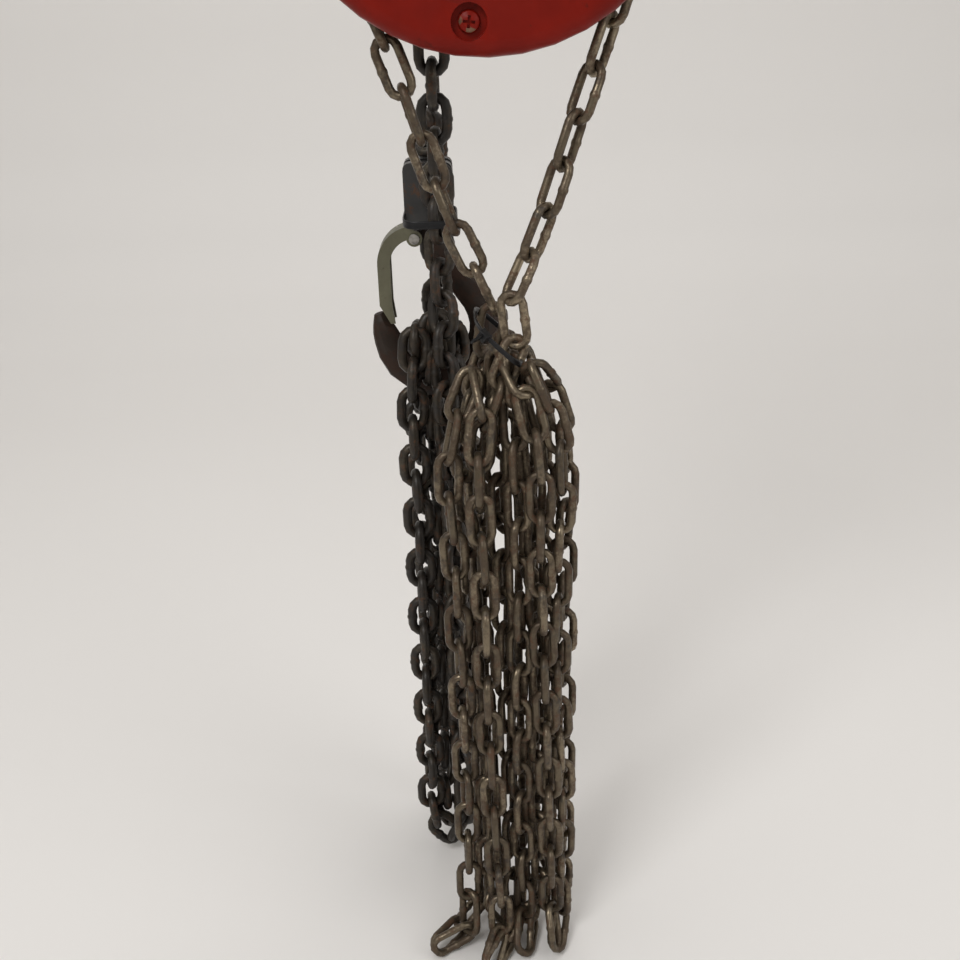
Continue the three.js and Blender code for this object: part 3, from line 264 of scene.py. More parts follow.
@dataclass(frozen=True)
class Finish:
    """A material: a base, layers of film over it, bare worn edges and a fine bump.

    Attributes:
        name: The material's name.
        slot: The record's material slot.
        colour: The base colour.
        roughness: The base roughness.
        metallic: The base's metallic value.
        layers: The films, lowest first.
        coat: Clear coat weight.
        specular: How strongly its surface mirrors what stands round it.
        bump: Bump strength.
        grain: Bump scale, per metre.
        pits: Share of pits in the bump, from 0 to 1.
        worn: Colour of bare edges, or None.
        worn_start: Where the bare edges start, in pointiness.
        worn_rough: Roughness of the bare edges.
        tinted: Whether link_shade carries each link's random tone and the bundle's painted shade.
    """

    name: str
    slot: str
    colour: Colour
    roughness: float
    metallic: float
    layers: tuple[Layer, ...] = ()
    coat: float = 0.0
    specular: float = 0.5
    bump: float = 0.15
    grain: float = 500.0
    pits: float = 0.4
    worn: Colour | None = None
    worn_start: float = 0.53
    worn_rough: float = 0.35
    tinted: bool = False

    def build(self, groups: NodeGroups) -> bpy.types.Material:
        """Makes the material.

        Args:
            groups: The shared node groups.

        Returns:
            The material.
        """
        material = bpy.data.materials.new(self.name)
        material.use_nodes = True
        tree = material.node_tree
        place = object_place(tree)
        noise = {"Vector": place, "Scale": 38.0, "Detail": 7.0}
        tone = add_node(tree, "ShaderNodeTexNoise", noise).outputs[0]
        spread = {"Value": tone, "From Min": 0.3, "From Max": 0.7, "To Min": 0.82, "To Max": 1.16}
        level = add_node(tree, "ShaderNodeMapRange", spread).outputs["Result"]
        if self.tinted:
            # link_shade: each link's random tone, times painted shade where the chain is gathered.
            own = add_node(tree, "ShaderNodeAttribute", attribute_name="link_shade")
            level = calculate(tree, "MULTIPLY", level, own.outputs["Fac"])
        base = add_node(tree, "ShaderNodeRGB").outputs[0]
        base.default_value = (*self.colour, 1.0)
        shade = add_node(tree, "ShaderNodeVectorMath", {0: base, "Scale": level}, operation="SCALE")
        colour = shade.outputs["Vector"]
        uneven = {"Vector": place, "Scale": self.grain * 0.35, "Detail": 4.0}
        span = {
            "Value": add_node(tree, "ShaderNodeTexNoise", uneven).outputs[0],
            "To Min": self.roughness * 0.7,
            "To Max": min(1.0, self.roughness * 1.3),
        }
        rough = add_node(tree, "ShaderNodeMapRange", span).outputs["Result"]
        films = [(self._mask(tree, groups, layer), layer) for layer in self.layers]
        if self.worn is not None:
            start = {"Start": self.worn_start}
            edge = add_node(tree, "ShaderNodeGroup", start, node_tree=groups.worn_edge)
            films.append((edge.outputs["Mask"], Layer(self.worn, self.worn_rough, 1.0)))
        metal: Any = self.metallic
        one_metal = all(film.metallic == self.metallic for _, film in films)
        for mask, film in films:
            above = {0: mask, 6: colour, 7: (*film.colour, 1.0)}
            colour = add_node(tree, "ShaderNodeMix", above, data_type="RGBA").outputs[2]
            rough = self._mix(tree, mask, rough, film.roughness)
            if not one_metal:
                metal = self._mix(tree, mask, metal, film.metallic)
        pitted = {"Scale": self.grain, "Pits": self.pits}
        grain = add_node(tree, "ShaderNodeGroup", pitted, node_tree=groups.grain)
        relief = {"Strength": self.bump, "Distance": BUMP_DEPTH, "Height": grain.outputs["Height"]}
        normal = add_node(tree, "ShaderNodeBump", relief).outputs["Normal"]
        looks = {
            "Coat Weight": self.coat,
            "Coat Roughness": COAT_ROUGHNESS,
            "Specular IOR Level": self.specular,
            "Base Color": colour,
            "Roughness": rough,
            "Metallic": metal,
            "Normal": normal,
        }
        feed(tree, tree.nodes["Principled BSDF"], looks)
        return material

    @staticmethod
    def _mask(
        tree: bpy.types.NodeTree, groups: NodeGroups, layer: Layer
    ) -> bpy.types.NodeSocket:
        """Where a film lies, times its strength.

        Args:
            tree: The material's tree.
            groups: The shared node groups.
            layer: The film.

        Returns:
            The mask's socket.
        """
        look = {
            "Scale": layer.scale,
            "Cover": layer.cover,
            "Softness": layer.softness,
            "Shift": layer.shift,
        }
        film = add_node(tree, "ShaderNodeGroup", look, node_tree=groups.film)
        return calculate(tree, "MULTIPLY", film.outputs["Mask"], layer.strength)

    @staticmethod
    def _mix(
        tree: bpy.types.NodeTree, mask: bpy.types.NodeSocket, below: Any, above: float
    ) -> bpy.types.NodeSocket:
        """The socket of one number laid over another where a mask shows it."""
        return add_node(tree, "ShaderNodeMix", {0: mask, 2: below, 3: above}).outputs[0]


RUST = Layer((0.085, 0.036, 0.014), 0.85, 0.0, 150.0, 0.46, 0.1, 0.8, 0.31)
ORANGE_RUST = Layer((0.2, 0.075, 0.02), 0.9, 0.0, 260.0, 0.33, 0.07, 0.8, 1.7)
OIL_DIRT = Layer((0.018, 0.015, 0.012), 0.5, 0.1, 55.0, 0.5, 0.16, 0.8, 2.9)

FINISHES = (
    Finish(
        "red_hammered_paint", "red_paint", (0.185, 0.0075, 0.003), 0.38, 0.0,
        (
            Layer((0.115, 0.005, 0.003), 0.45, 0.0, 14.0, 0.5, 0.3, 0.5, 0.4),
            Layer((0.022, 0.008, 0.005), 0.6, 0.0, 30.0, 0.42, 0.08, 0.8, 5.1),
            Layer((0.07, 0.012, 0.006), 0.6, 0.0, 190.0, 0.36, 0.06, 0.6, 7.7),
        ),
        specular=0.12, bump=0.1, grain=700.0, pits=0.3, worn=(0.2, 0.12, 0.08), worn_start=0.6,
    ),
    Finish(
        "dark_frame_paint", "dark_frame", (0.028, 0.027, 0.026), 0.45, 0.0,
        (RUST, Layer((0.09, 0.08, 0.07), 0.8, 0.0, 24.0, 0.42, 0.2, 0.5, 3.3)),
        coat=0.1, bump=0.2, worn=(0.22, 0.2, 0.18), worn_start=0.56,
    ),
    Finish(
        "machined_steel", "machined_steel", (0.42, 0.4, 0.37), 0.32, 1.0,
        (OIL_DIRT, Layer((0.12, 0.06, 0.03), 0.8, 0.0, 210.0, 0.36, 0.08, 0.6, 4.0)),
        bump=0.12, grain=900.0,
    ),
    Finish(
        "cast_wheel_iron", "cast_wheel", (0.13, 0.12, 0.11), 0.55, 0.75,
        (RUST, OIL_DIRT),
        bump=0.45, grain=420.0, pits=0.65, worn=(0.4, 0.37, 0.33), worn_start=0.55,
    ),
    Finish(
        "friction_lining", "friction_lining", (0.2, 0.13, 0.07), 0.85, 0.0,
        (Layer((0.5, 0.36, 0.2), 0.5, 0.6, 500.0, 0.3, 0.05, 0.8, 2.2), OIL_DIRT),
        bump=0.4, grain=800.0,
    ),
    Finish(
        "rusty_forging", "hook_forging", (0.024, 0.015, 0.01), 0.6, 0.2,
        (
            Layer((0.034, 0.015, 0.008), 0.85, 0.0, 70.0, 0.55, 0.14, 0.8, 0.9),
            Layer((0.013, 0.011, 0.01), 0.45, 0.2, 48.0, 0.46, 0.14, 0.8, 6.4),
            ORANGE_RUST,
        ),
        bump=0.7, grain=380.0, pits=0.6, worn=(0.12, 0.09, 0.065), worn_start=0.72, specular=0.35,
    ),
    Finish(
        "grey_green_plating", "latch_plate", (0.15, 0.143, 0.096), 0.45, 0.6,
        (
            Layer((0.1, 0.095, 0.06), 0.6, 0.2, 60.0, 0.5, 0.2, 0.7, 1.1),
            Layer((0.05, 0.035, 0.02), 0.7, 0.0, 120.0, 0.4, 0.1, 0.7, 3.8),
        ),
        bump=0.18, grain=600.0, worn=(0.55, 0.52, 0.44), worn_start=0.58,
    ),
    Finish(
        "hand_chain_steel", "hand_chain", (0.235, 0.19, 0.132), 0.33, 0.95,
        (
            Layer((0.06, 0.038, 0.022), 0.5, 0.4, 95.0, 0.56, 0.16, 0.85, 0.2),
            RUST,
            Layer((0.02, 0.016, 0.013), 0.5, 0.2, 70.0, 0.46, 0.14, 0.75, 2.9),
            ORANGE_RUST,
        ),
        bump=0.3, grain=520.0, pits=0.5, tinted=True,
    ),
    Finish(
        "load_chain_steel", "load_chain", (0.105, 0.09, 0.069), 0.36, 0.92,
        (
            Layer((0.028, 0.02, 0.013), 0.5, 0.3, 90.0, 0.6, 0.16, 0.85, 0.6),
            RUST,
            Layer((0.016, 0.013, 0.011), 0.45, 0.2, 62.0, 0.54, 0.14, 0.85, 3.9),
        ),
        bump=0.3, grain=480.0, pits=0.5, tinted=True,
    ),
    Finish(
        "black_nylon", "black_nylon", (0.008, 0.008, 0.009), 0.38, 0.0,
        (Layer((0.03, 0.026, 0.02), 0.8, 0.0, 90.0, 0.42, 0.16, 0.6, 8.2),),
        specular=0.3, bump=0.1, grain=900.0, pits=0.2,
    ),
)

SLOT_FINISH = {"gathered_hand_chain": "hand_chain", "gathered_load_chain": "load_chain"}


# ---------- mesh helpers ----------


def new_object(name: str, verts: list[Vector], faces: list[tuple[int, ...]]) -> bpy.types.Object:
    """Makes a smooth mesh object and links it to the scene.

    Args:
        name: The object's name.
        verts: Its corners, in metres.
        faces: Its faces, as corner numbers.

    Returns:
        The object.
    """
    mesh = bpy.data.meshes.new(name)
    mesh.from_pydata([tuple(v) for v in verts], [], faces)
    mesh.update()
    mesh.polygons.foreach_set("use_smooth", [True] * len(mesh.polygons))
    made = bpy.data.objects.new(name, mesh)
    bpy.context.scene.collection.objects.link(made)
    return made


def round_edges(piece: bpy.types.Object, width: float, angle: float) -> bpy.types.Modifier:
    """Rounds the sharp edges of a piece with a modifier.

    Args:
        piece: The piece.
        width: How wide the rounding is, in metres.
        angle: The least angle of an edge that is rounded, in radians.

    Returns:
        The modifier.
    """
    bevel = piece.modifiers.new("rounding", "BEVEL")
    bevel.width, bevel.segments = width, 2
    bevel.limit_method, bevel.angle_limit = "ANGLE", angle
    return bevel


def smooth_route(points: list[Point], step: float = 1 * MM) -> list[Vector]:
    """A smooth line through points, sampled evenly enough to walk along.

    Args:
        points: The points, in metres.
        step: The distance between samples.

    Returns:
        The samples.
    """
    knots = [Vector(p) for p in points]
    ends = [knots[0] * 2 - knots[1], *knots, knots[-1] * 2 - knots[-2]]
    line: list[Vector] = []
    for a, b, c, d in zip(ends, ends[1:], ends[2:], ends[3:]):
        span = [max((q - p).length, 1e-6) ** 0.5 for p, q in ((a, b), (b, c), (c, d))]
        count = max(2, int((c - b).length / step))
        out = (c - b) + span[1] * ((b - a) / span[0] - (c - a) / (span[0] + span[1]))
        into = (c - b) + span[1] * ((d - c) / span[2] - (d - b) / (span[1] + span[2]))
        for k in range(count):
            t = k / count
            line.append(
                b * (2 * t**3 - 3 * t**2 + 1)
                + out * (t**3 - 2 * t**2 + t)
                + c * (3 * t**2 - 2 * t**3)
                + into * (t**3 - t**2)
            )
    line.append(knots[-1])
    return line


# ---------- chains ----------


@dataclass
class LinkShape:
    """One welded chain link: a loop of round wire with a weld swelling on one side.

    Attributes:
        wire: Wire diameter.
        pitch: Inside length, which is the chain's pitch.
        width: Outside width.
        bend_steps: Sections round each end bend.
        sides: Sides of the wire's section.
        weld: How far the weld stands proud, as a share of the wire's radius.
    """

    wire: float
    pitch: float
    width: float
    bend_steps: int = 6
    sides: int = 9
    weld: float = 0.16

    def stations(self) -> list[tuple[float, float, float]]:
        """The wire's centreline as (along, across, wire radius), once round the link.

        Returns:
            The stations.
        """
        radius = (self.width - self.wire) / 2
        straight = (self.pitch + self.wire - 2 * radius) / 2
        wire = self.wire / 2
        line: list[tuple[float, float, float]] = []
        for k in range(self.bend_steps + 1):
            turn = math.pi / 2 - math.pi * k / self.bend_steps
            worn = wire * (1 - 0.05 * math.cos(turn))
            line.append((straight + radius * math.cos(turn), radius * math.sin(turn), worn))
        line.append((0.0, -radius, wire))
        for k in range(self.bend_steps + 1):
            turn = -math.pi / 2 - math.pi * k / self.bend_steps
            worn = wire * (1 + 0.05 * math.cos(turn))
            line.append((-straight + radius * math.cos(turn), radius * math.sin(turn), worn))
        for at, swell in ((-2.0, 0.0), (-1.2, 0.6), (-0.5, 1.0), (0.5, 1.0), (1.2, 0.6), (2.0, 0.0)):
            line.append((at * MM, radius, wire * (1 + self.weld * swell)))
        return line

    def add(
        self,
        verts: list[Vector],
        faces: list[tuple[int, ...]],
        start: Vector,
        end: Vector,
        across: Vector,
        flipped: bool,
    ) -> None:
        """Adds one link between two joints of the chain.

        Args:
            verts: The corners so far.
            faces: The faces so far.
            start: Where it meets the link before.
            end: Where it meets the link after.
            across: The direction of the link's width.
            flipped: Whether its weld is on the other side.
        """
        along = (end - start).normalized()
        across = (across - along * across.dot(along)).normalized()
        depth = along.cross(across)
        centre = (start + end) / 2
        stations = self.stations()
        count = len(stations)
        side = -1.0 if flipped else 1.0
        first = len(verts)
        for k, (u, v, radius) in enumerate(stations):
            before, after = stations[k - 1], stations[(k + 1) % count]
            run = Vector((after[0] - before[0], after[1] - before[1])).normalized()
            outward = Vector((-run.y, run.x))
            for s in range(self.sides):
                turn = 2 * math.pi * s / self.sides
                flat = outward * (radius * math.cos(turn))
                verts.append(
                    centre
                    + along * (u + flat.x)
                    + across * (side * (v + flat.y))
                    + depth * (radius * math.sin(turn))
                )
        for k in range(count):
            for s in range(self.sides):
                a = first + k * self.sides + s
                b = first + k * self.sides + (s + 1) % self.sides
                c = first + ((k + 1) % count) * self.sides + (s + 1) % self.sides
                d = first + ((k + 1) % count) * self.sides + s
                faces.append((d, c, b, a) if flipped else (a, b, c, d))

    def corners(self) -> int:
        """How many corners one link has."""
        return len(self.stations()) * self.sides


@dataclass
class Chain:
    """A chain laid link by link along a route.

    Attributes:
        name: Name for the log.
        link: The link's shape.
        route: Points along the whole chain, in metres.
        faces: The chain's roll in degrees at each point of the route.
        seed: Seed of its small unevenness.
        laid_pitch: Distance from joint to joint, or None for the link's own pitch.
        floor: Height that nothing goes below.
        gathered_z: Height below which the chain is gathered and its links get painted shade.
        bundle_painted_shade: Painted shade there, a factor on each link's tone for the bundle's inner
            shadow.
        floor_gap: How far over the floor the lowest wire is kept.
        wobble: How far a link may be rolled out of line, in degrees.
        shades: The darkest and the lightest shade of a link.
    """

    name: str
    link: LinkShape
    route: list[Point]
    faces: list[float]
    seed: int
    laid_pitch: float | None = None
    floor: float = -0.875
    gathered_z: float = -0.45
    bundle_painted_shade: float = 0.74
    floor_gap: float = 0.4 * MM
    wobble: float = 9.0
    shades: tuple[float, float] = (0.62, 1.3)
    joints: list[Vector] = field(default_factory=list)
    rolls: list[float] = field(default_factory=list)
    line: list[Vector] = field(default_factory=list)

    def walk(self) -> None:
        """Finds where each link meets the next, one pitch apart along the route."""
        self.line = smooth_route(self.route)
        marks, at = [], 0
        for knot in map(Vector, self.route):
            at = min(range(at, len(self.line)), key=lambda i: (self.line[i] - knot).length)
            marks.append(at)
        pitch = self.laid_pitch or self.link.pitch
        self.joints, self.rolls, index = [self.line[0]], [self.faces[0]], 0
        stretch = 0
        while index < len(self.line) - 1:
            here = self.joints[-1]
            while index < len(self.line) and (self.line[index] - here).length < pitch:
                index += 1
            if index >= len(self.line):
                break
            p, q = self.line[index - 1], self.line[index]
            near, far = (p - here).length, (q - here).length
            share = (pitch - near) / max(far - near, 1e-9)
            self.joints.append(p.lerp(q, min(max(share, 0.0), 1.0)))
            while stretch < len(marks) - 2 and marks[stretch + 1] <= index:
                stretch += 1
            run = max(marks[stretch + 1] - marks[stretch], 1)
            part = min(max((index - marks[stretch]) / run, 0.0), 1.0)
            part = part * part * (3 - 2 * part)
            self.rolls.append(self.faces[stretch] * (1 - part) + self.faces[stretch + 1] * part)

    def lay(self, name: str, first: int, last: int) -> bpy.types.Object:
        """Makes the links from one joint to another as one piece.

        Args:
            name: The piece's name.
            first: The joint that it starts at.
            last: The joint that it ends at.

        Returns:
            The piece.
        """
        dice = random.Random(self.seed * 7919)
        verts: list[Vector] = []
        faces: list[tuple[int, ...]] = []
        shades: list[float] = []
        lean = Vector((1.0, 0.0, 0.0))
        for k in range(len(self.joints) - 1):
            start, end = self.joints[k], self.joints[k + 1]
            along = (end - start).normalized()
            level = Vector((1.0, 0.0, 0.0))
            flat = level - along * level.dot(along)
            if flat.length < 0.35:
                flat = lean - along * lean.dot(along)
            lean = flat.normalized()
            wobble, shade = dice.uniform(-self.wobble, self.wobble), dice.uniform(*self.shades)
            # Painted shade: links in the gathered bundle are darkened for the shadow between the strands.
            if end.z < self.gathered_z:
                shade *= self.bundle_painted_shade
            turn = math.radians(self.rolls[k] + 90.0 * (k % 2) + wobble)
            flipped = dice.random() < 0.5
            if first <= k < last:
                across = Matrix.Rotation(turn, 3, along) @ lean
                self.link.add(verts, faces, start, end, across, flipped)
                shades += [shade] * self.link.corners()
        for corner in verts:
            corner.z = max(corner.z, self.floor + self.floor_gap)
        made = new_object(name, verts, faces)
        shade_layer = made.data.attributes.new("link_shade", "FLOAT", "POINT")
        shade_layer.data.foreach_set("value", shades)
        LOG.info("%s: %s has %d links", self.name, name, last - first)
        return made

    def nearest_joint(self, point: Point, low: int = 0) -> int:
        """The joint nearest to a point.

        Args:
            point: The point.
            low: The first joint to look at.

        Returns:
            The joint's number.
        """
        return min(
            range(low, len(self.joints)), key=lambda k: (self.joints[k] - Vector(point)).length
        )


def metres(points: list[Point]) -> list[Point]:
    """Points in millimetres as points in metres."""
    return [(x * MM, y * MM, z * MM) for x, y, z in points]


def arc(
    centre: tuple[float, float], radius: float, start: float, end: float, y: float, steps: int
) -> list[Point]:
    """Points on an arc in a plane across Y, in millimetres.

    Args:
        centre: The arc's centre, as x and z.
        radius: Its radius.
        start: Its first angle, in degrees from +X towards +Z.
        end: Its last angle.
        y: The plane's place.
        steps: How many spans it has.

    Returns:
        The points.
    """
    points = []
    for k in range(steps + 1):
        turn = math.radians(start + (end - start) * k / steps)
        points.append((centre[0] + radius * math.cos(turn), y, centre[1] + radius * math.sin(turn)))
    return points


@dataclass
class Strand:
    """One hanging strand of a gathered chain.

    Attributes:
        top: Its place in the neck, as x and y.
        upper: Its place a little lower.
        low: Its place near its foot.
        face: Its roll in degrees.
    """

    top: tuple[float, float]
    upper: tuple[float, float]
    low: tuple[float, float]
    face: float

    def points(
        self, top_z: float, upper_z: float, low_z: float, dice: random.Random
    ) -> list[Point]:
        """The strand from its top to its foot, a little wavy.

        Args:
            top_z: Height of its top.
            upper_z: Height of its upper place.
            low_z: Height of its foot.
            dice: Source of the waves.

        Returns:
            The points, in millimetres.
        """
        line = [(*self.top, top_z), (*self.upper, upper_z)]
        for share in (0.25, 0.5, 0.75):
            x = self.upper[0] + (self.low[0] - self.upper[0]) * share + dice.uniform(-1.8, 1.8)
            y = self.upper[1] + (self.low[1] - self.upper[1]) * share + dice.uniform(-1.5, 1.5)
            line.append((x, y, upper_z + (low_z - upper_z) * share))
        line.append((*self.low, low_z))
        return line


@dataclass
class HandChain:
    """The endless hand chain: round the hand wheel, down both sides, and gathered in a hank.

    Attributes:
        link: Its link.
        axis_z: Height of the hand wheel's axis, in millimetres.
        wheel_y: The wheel's middle plane.
        wheel_radius: The wheel's pitch radius.
        foot_z: Where the strands turn at the bottom.
        foot_rise: How far over it their hanging part ends.
        floor_z: Height of the chain's line where it lies on the floor.
        top_z: Height of the turns in the cable tie.
        laid_pitch: Distance from joint to joint, with the little play that closes the loop.
        neck_z: Height of the strands' tops.
        spread_z: Height where they have spread out below the tie.
        right_roll: How far the right run is rolled, in degrees.
        wave_seed: Seed of the strands' waves.
        link_seed: Seed of the links' unevenness.
        left_run: Points down the left run, in millimetres.
        right_run: Points down the right run.
    """

    link: LinkShape = field(default_factory=lambda: LinkShape(5 * MM, 25 * MM, 17.5 * MM))
    axis_z: float = -190.0
    wheel_y: float = -56.1
    wheel_radius: float = 87.9
    foot_z: float = -850.0
    foot_rise: float = 12.0
    floor_z: float = -867.5
    top_z: float = -444.0
    laid_pitch: float = 25.18 * MM
    neck_z: float = -453.0
    spread_z: float = -500.0
    right_roll: float = 134.0
    wave_seed: int = 41
    link_seed: int = 3
    left_run: tuple[Point, ...] = (
        (-63.5, -57, -268), (-57, -58, -284), (-49, -60, -303),
        (-34, -63, -349), (-16, -66, -397), (0, -66, -431),
    )
    right_run: tuple[Point, ...] = (
        (67.5, -57, -270), (63, -58.5, -284), (46, -65, -330),
        (27, -73, -383), (9, -81, -422), (4, -84, -431),
    )

    def strands(self) -> list[Strand]:
        """The fourteen strands, in the chain's own order, down and up by turns.

        Returns:
            The strands.
        """
        return [
            Strand((-4, -68), (-19, -77), (-16, -79), 30.0),
            Strand((-8, -80), (-27, -94), (-26, -97), 8.0),
            Strand((-4, -88), (-11, -104), (-5, -106), 0.0),
            Strand((1, -82), (-1, -84), (3, -85), 60.0),
            Strand((-2, -66), (-13, -61), (-10, -62), 20.0),
            Strand((6, -63), (5, -60), (7, -62), 80.0),
            Strand((9, -66), (16, -73), (17, -74), 35.0),
            Strand((7, -80), (10, -95), (12, -96), 70.0),
            Strand((11, -92), (22, -104), (30, -102), 4.0),
            Strand((19, -92), (35, -97), (37, -93), 85.0),
            Strand((22, -80), (38, -80), (38, -78), 25.0),
            Strand((14, -70), (27, -64), (28, -64), 60.0),
            Strand((4, -76), (20, -86), (24, -88), 50.0),
            Strand((9, -84), (-9, -92), (-12, -93), 15.0),
        ]

    def tangent(self, point: Point, left: bool) -> float:
        """The angle, in degrees, at which a straight run from a point meets the wheel.

        Args:
            point: The run's upper end.
            left: Whether it is the left run.

        Returns:
            The angle from +X towards +Z.
        """
        out = Vector((point[0], point[2] - self.axis_z))
        turn = math.degrees(math.acos(self.wheel_radius / out.length))
        own = math.degrees(math.atan2(out.y, out.x))
        return own - turn if left else own + turn

    def route(self) -> tuple[list[Point], list[float]]:
        """The whole chain's route from the left run's exit round to where it starts again.

        Returns:
            The points in metres, and the chain's roll at each.
        """
        dice = random.Random(self.wave_seed)
        points = list(self.left_run)
        rolls = [Face.SIDE.value] * len(points)
        strands = self.strands()
        for k, strand in enumerate(strands):
            line = strand.points(self.neck_z, self.spread_z, self.foot_z + self.foot_rise, dice)
            after = strands[k + 1] if k + 1 < len(strands) else None
            if k % 2 == 0:
                points += line
                rolls += [strand.face] * len(line)
                turn = self.foot_turn(k // 2, strand, after)
                points += turn
                rolls += [Face.ANGLED.value] * len(turn)
            else:
                points += line[::-1]
                rolls += [strand.face] * len(line)
                if after is not None:
                    x, y = (strand.top[0] + after.top[0]) / 2, (strand.top[1] + after.top[1]) / 2
                    points.append((x, y, self.top_z + dice.uniform(-1.5, 1.0)))
                    rolls.append((strand.face + after.face) / 2)
        points += [(13, -80, -443), (8, -84, -438)]
        rolls += [Face.SIDE.value, Face.SIDE.value]
        points += self.right_run[::-1]
        rolls += [self.right_roll] * len(self.right_run)
        start, end = self.tangent(self.right_run[0], False), self.tangent(self.left_run[0], True)
        round_wheel = arc((0, self.axis_z), self.wheel_radius, start, end % 360, self.wheel_y, 14)
        points += round_wheel
        rolls += [Face.FRONT.value] * len(round_wheel)
        points.append(self.left_run[0])
        rolls.append(Face.FRONT.value)
        return metres(points), rolls

    def foot_turn(
        self, number: int, down: Strand, up: Strand
    ) -> list[Point]:
        """How the chain gets from one strand's foot to the next, some of it lying on the floor.

        Args:
            number: Which turn it is.
            down: The strand that comes down.
            up: The strand that goes up.

        Returns:
            The points, in millimetres.
        """
        (x0, y0), (x1, y1) = down.low, up.low
        low = self.floor_z
        lying = {
            0: [(-24, -90, 2), (-40, -98, 0), (-49, -112, 0), (-44, -127, 0), (-30, -126, 0)],
            1: [(-6, -122, 0), (-20, -135, 0), (-34, -136, 3), (-22, -122, 2), (-2, -112, 2)],
            3: [(12, -112, 0), (6, -126, 0), (10, -137, 0), (24, -133, 0), (22, -116, 0)],
            4: [(32, -118, 0), (26, -131, 4), (38, -137, 0), (48, -124, 0), (44, -106, 0)],
        }
        if number in lying:
            first, last = (x0, y0, low + 12), (x1, y1, low + 12)
            return [first, *((x, y, low + z) for x, y, z in lying[number]), last]
        middle = ((x0 + x1) / 2, (y0 + y1) / 2)
        return [
            (x0 * 0.8 + middle[0] * 0.2, y0 * 0.8 + middle[1] * 0.2, low + 7),
            (middle[0], middle[1], low + 1),
            (x1 * 0.8 + middle[0] * 0.2, y1 * 0.8 + middle[1] * 0.2, low + 7),
        ]

    def build(self, dress: "Dresser") -> None:
        """Makes the free chain and the part that stays on the wheel.

        Args:
            dress: Gives each piece its finish.
        """
        route, rolls = self.route()
        chain = Chain(
            "hand chain", self.link, route, rolls, self.link_seed, laid_pitch=self.laid_pitch
        )
        chain.walk()
        end_point = metres([self.right_run[0]])[0]
        last = chain.nearest_joint(end_point, len(chain.joints) // 2)
        free = chain.lay("hand_chain", 0, last)
        kept = chain.lay("hand_chain_on_wheel", last, len(chain.joints) - 1)
        for piece in (free, kept):
            dress.finish(piece, "hand_chain")
            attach(piece, "hoist_frame")
        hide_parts("hand_chain_left_run", "hand_chain_right_run", "hand_chain_hank")


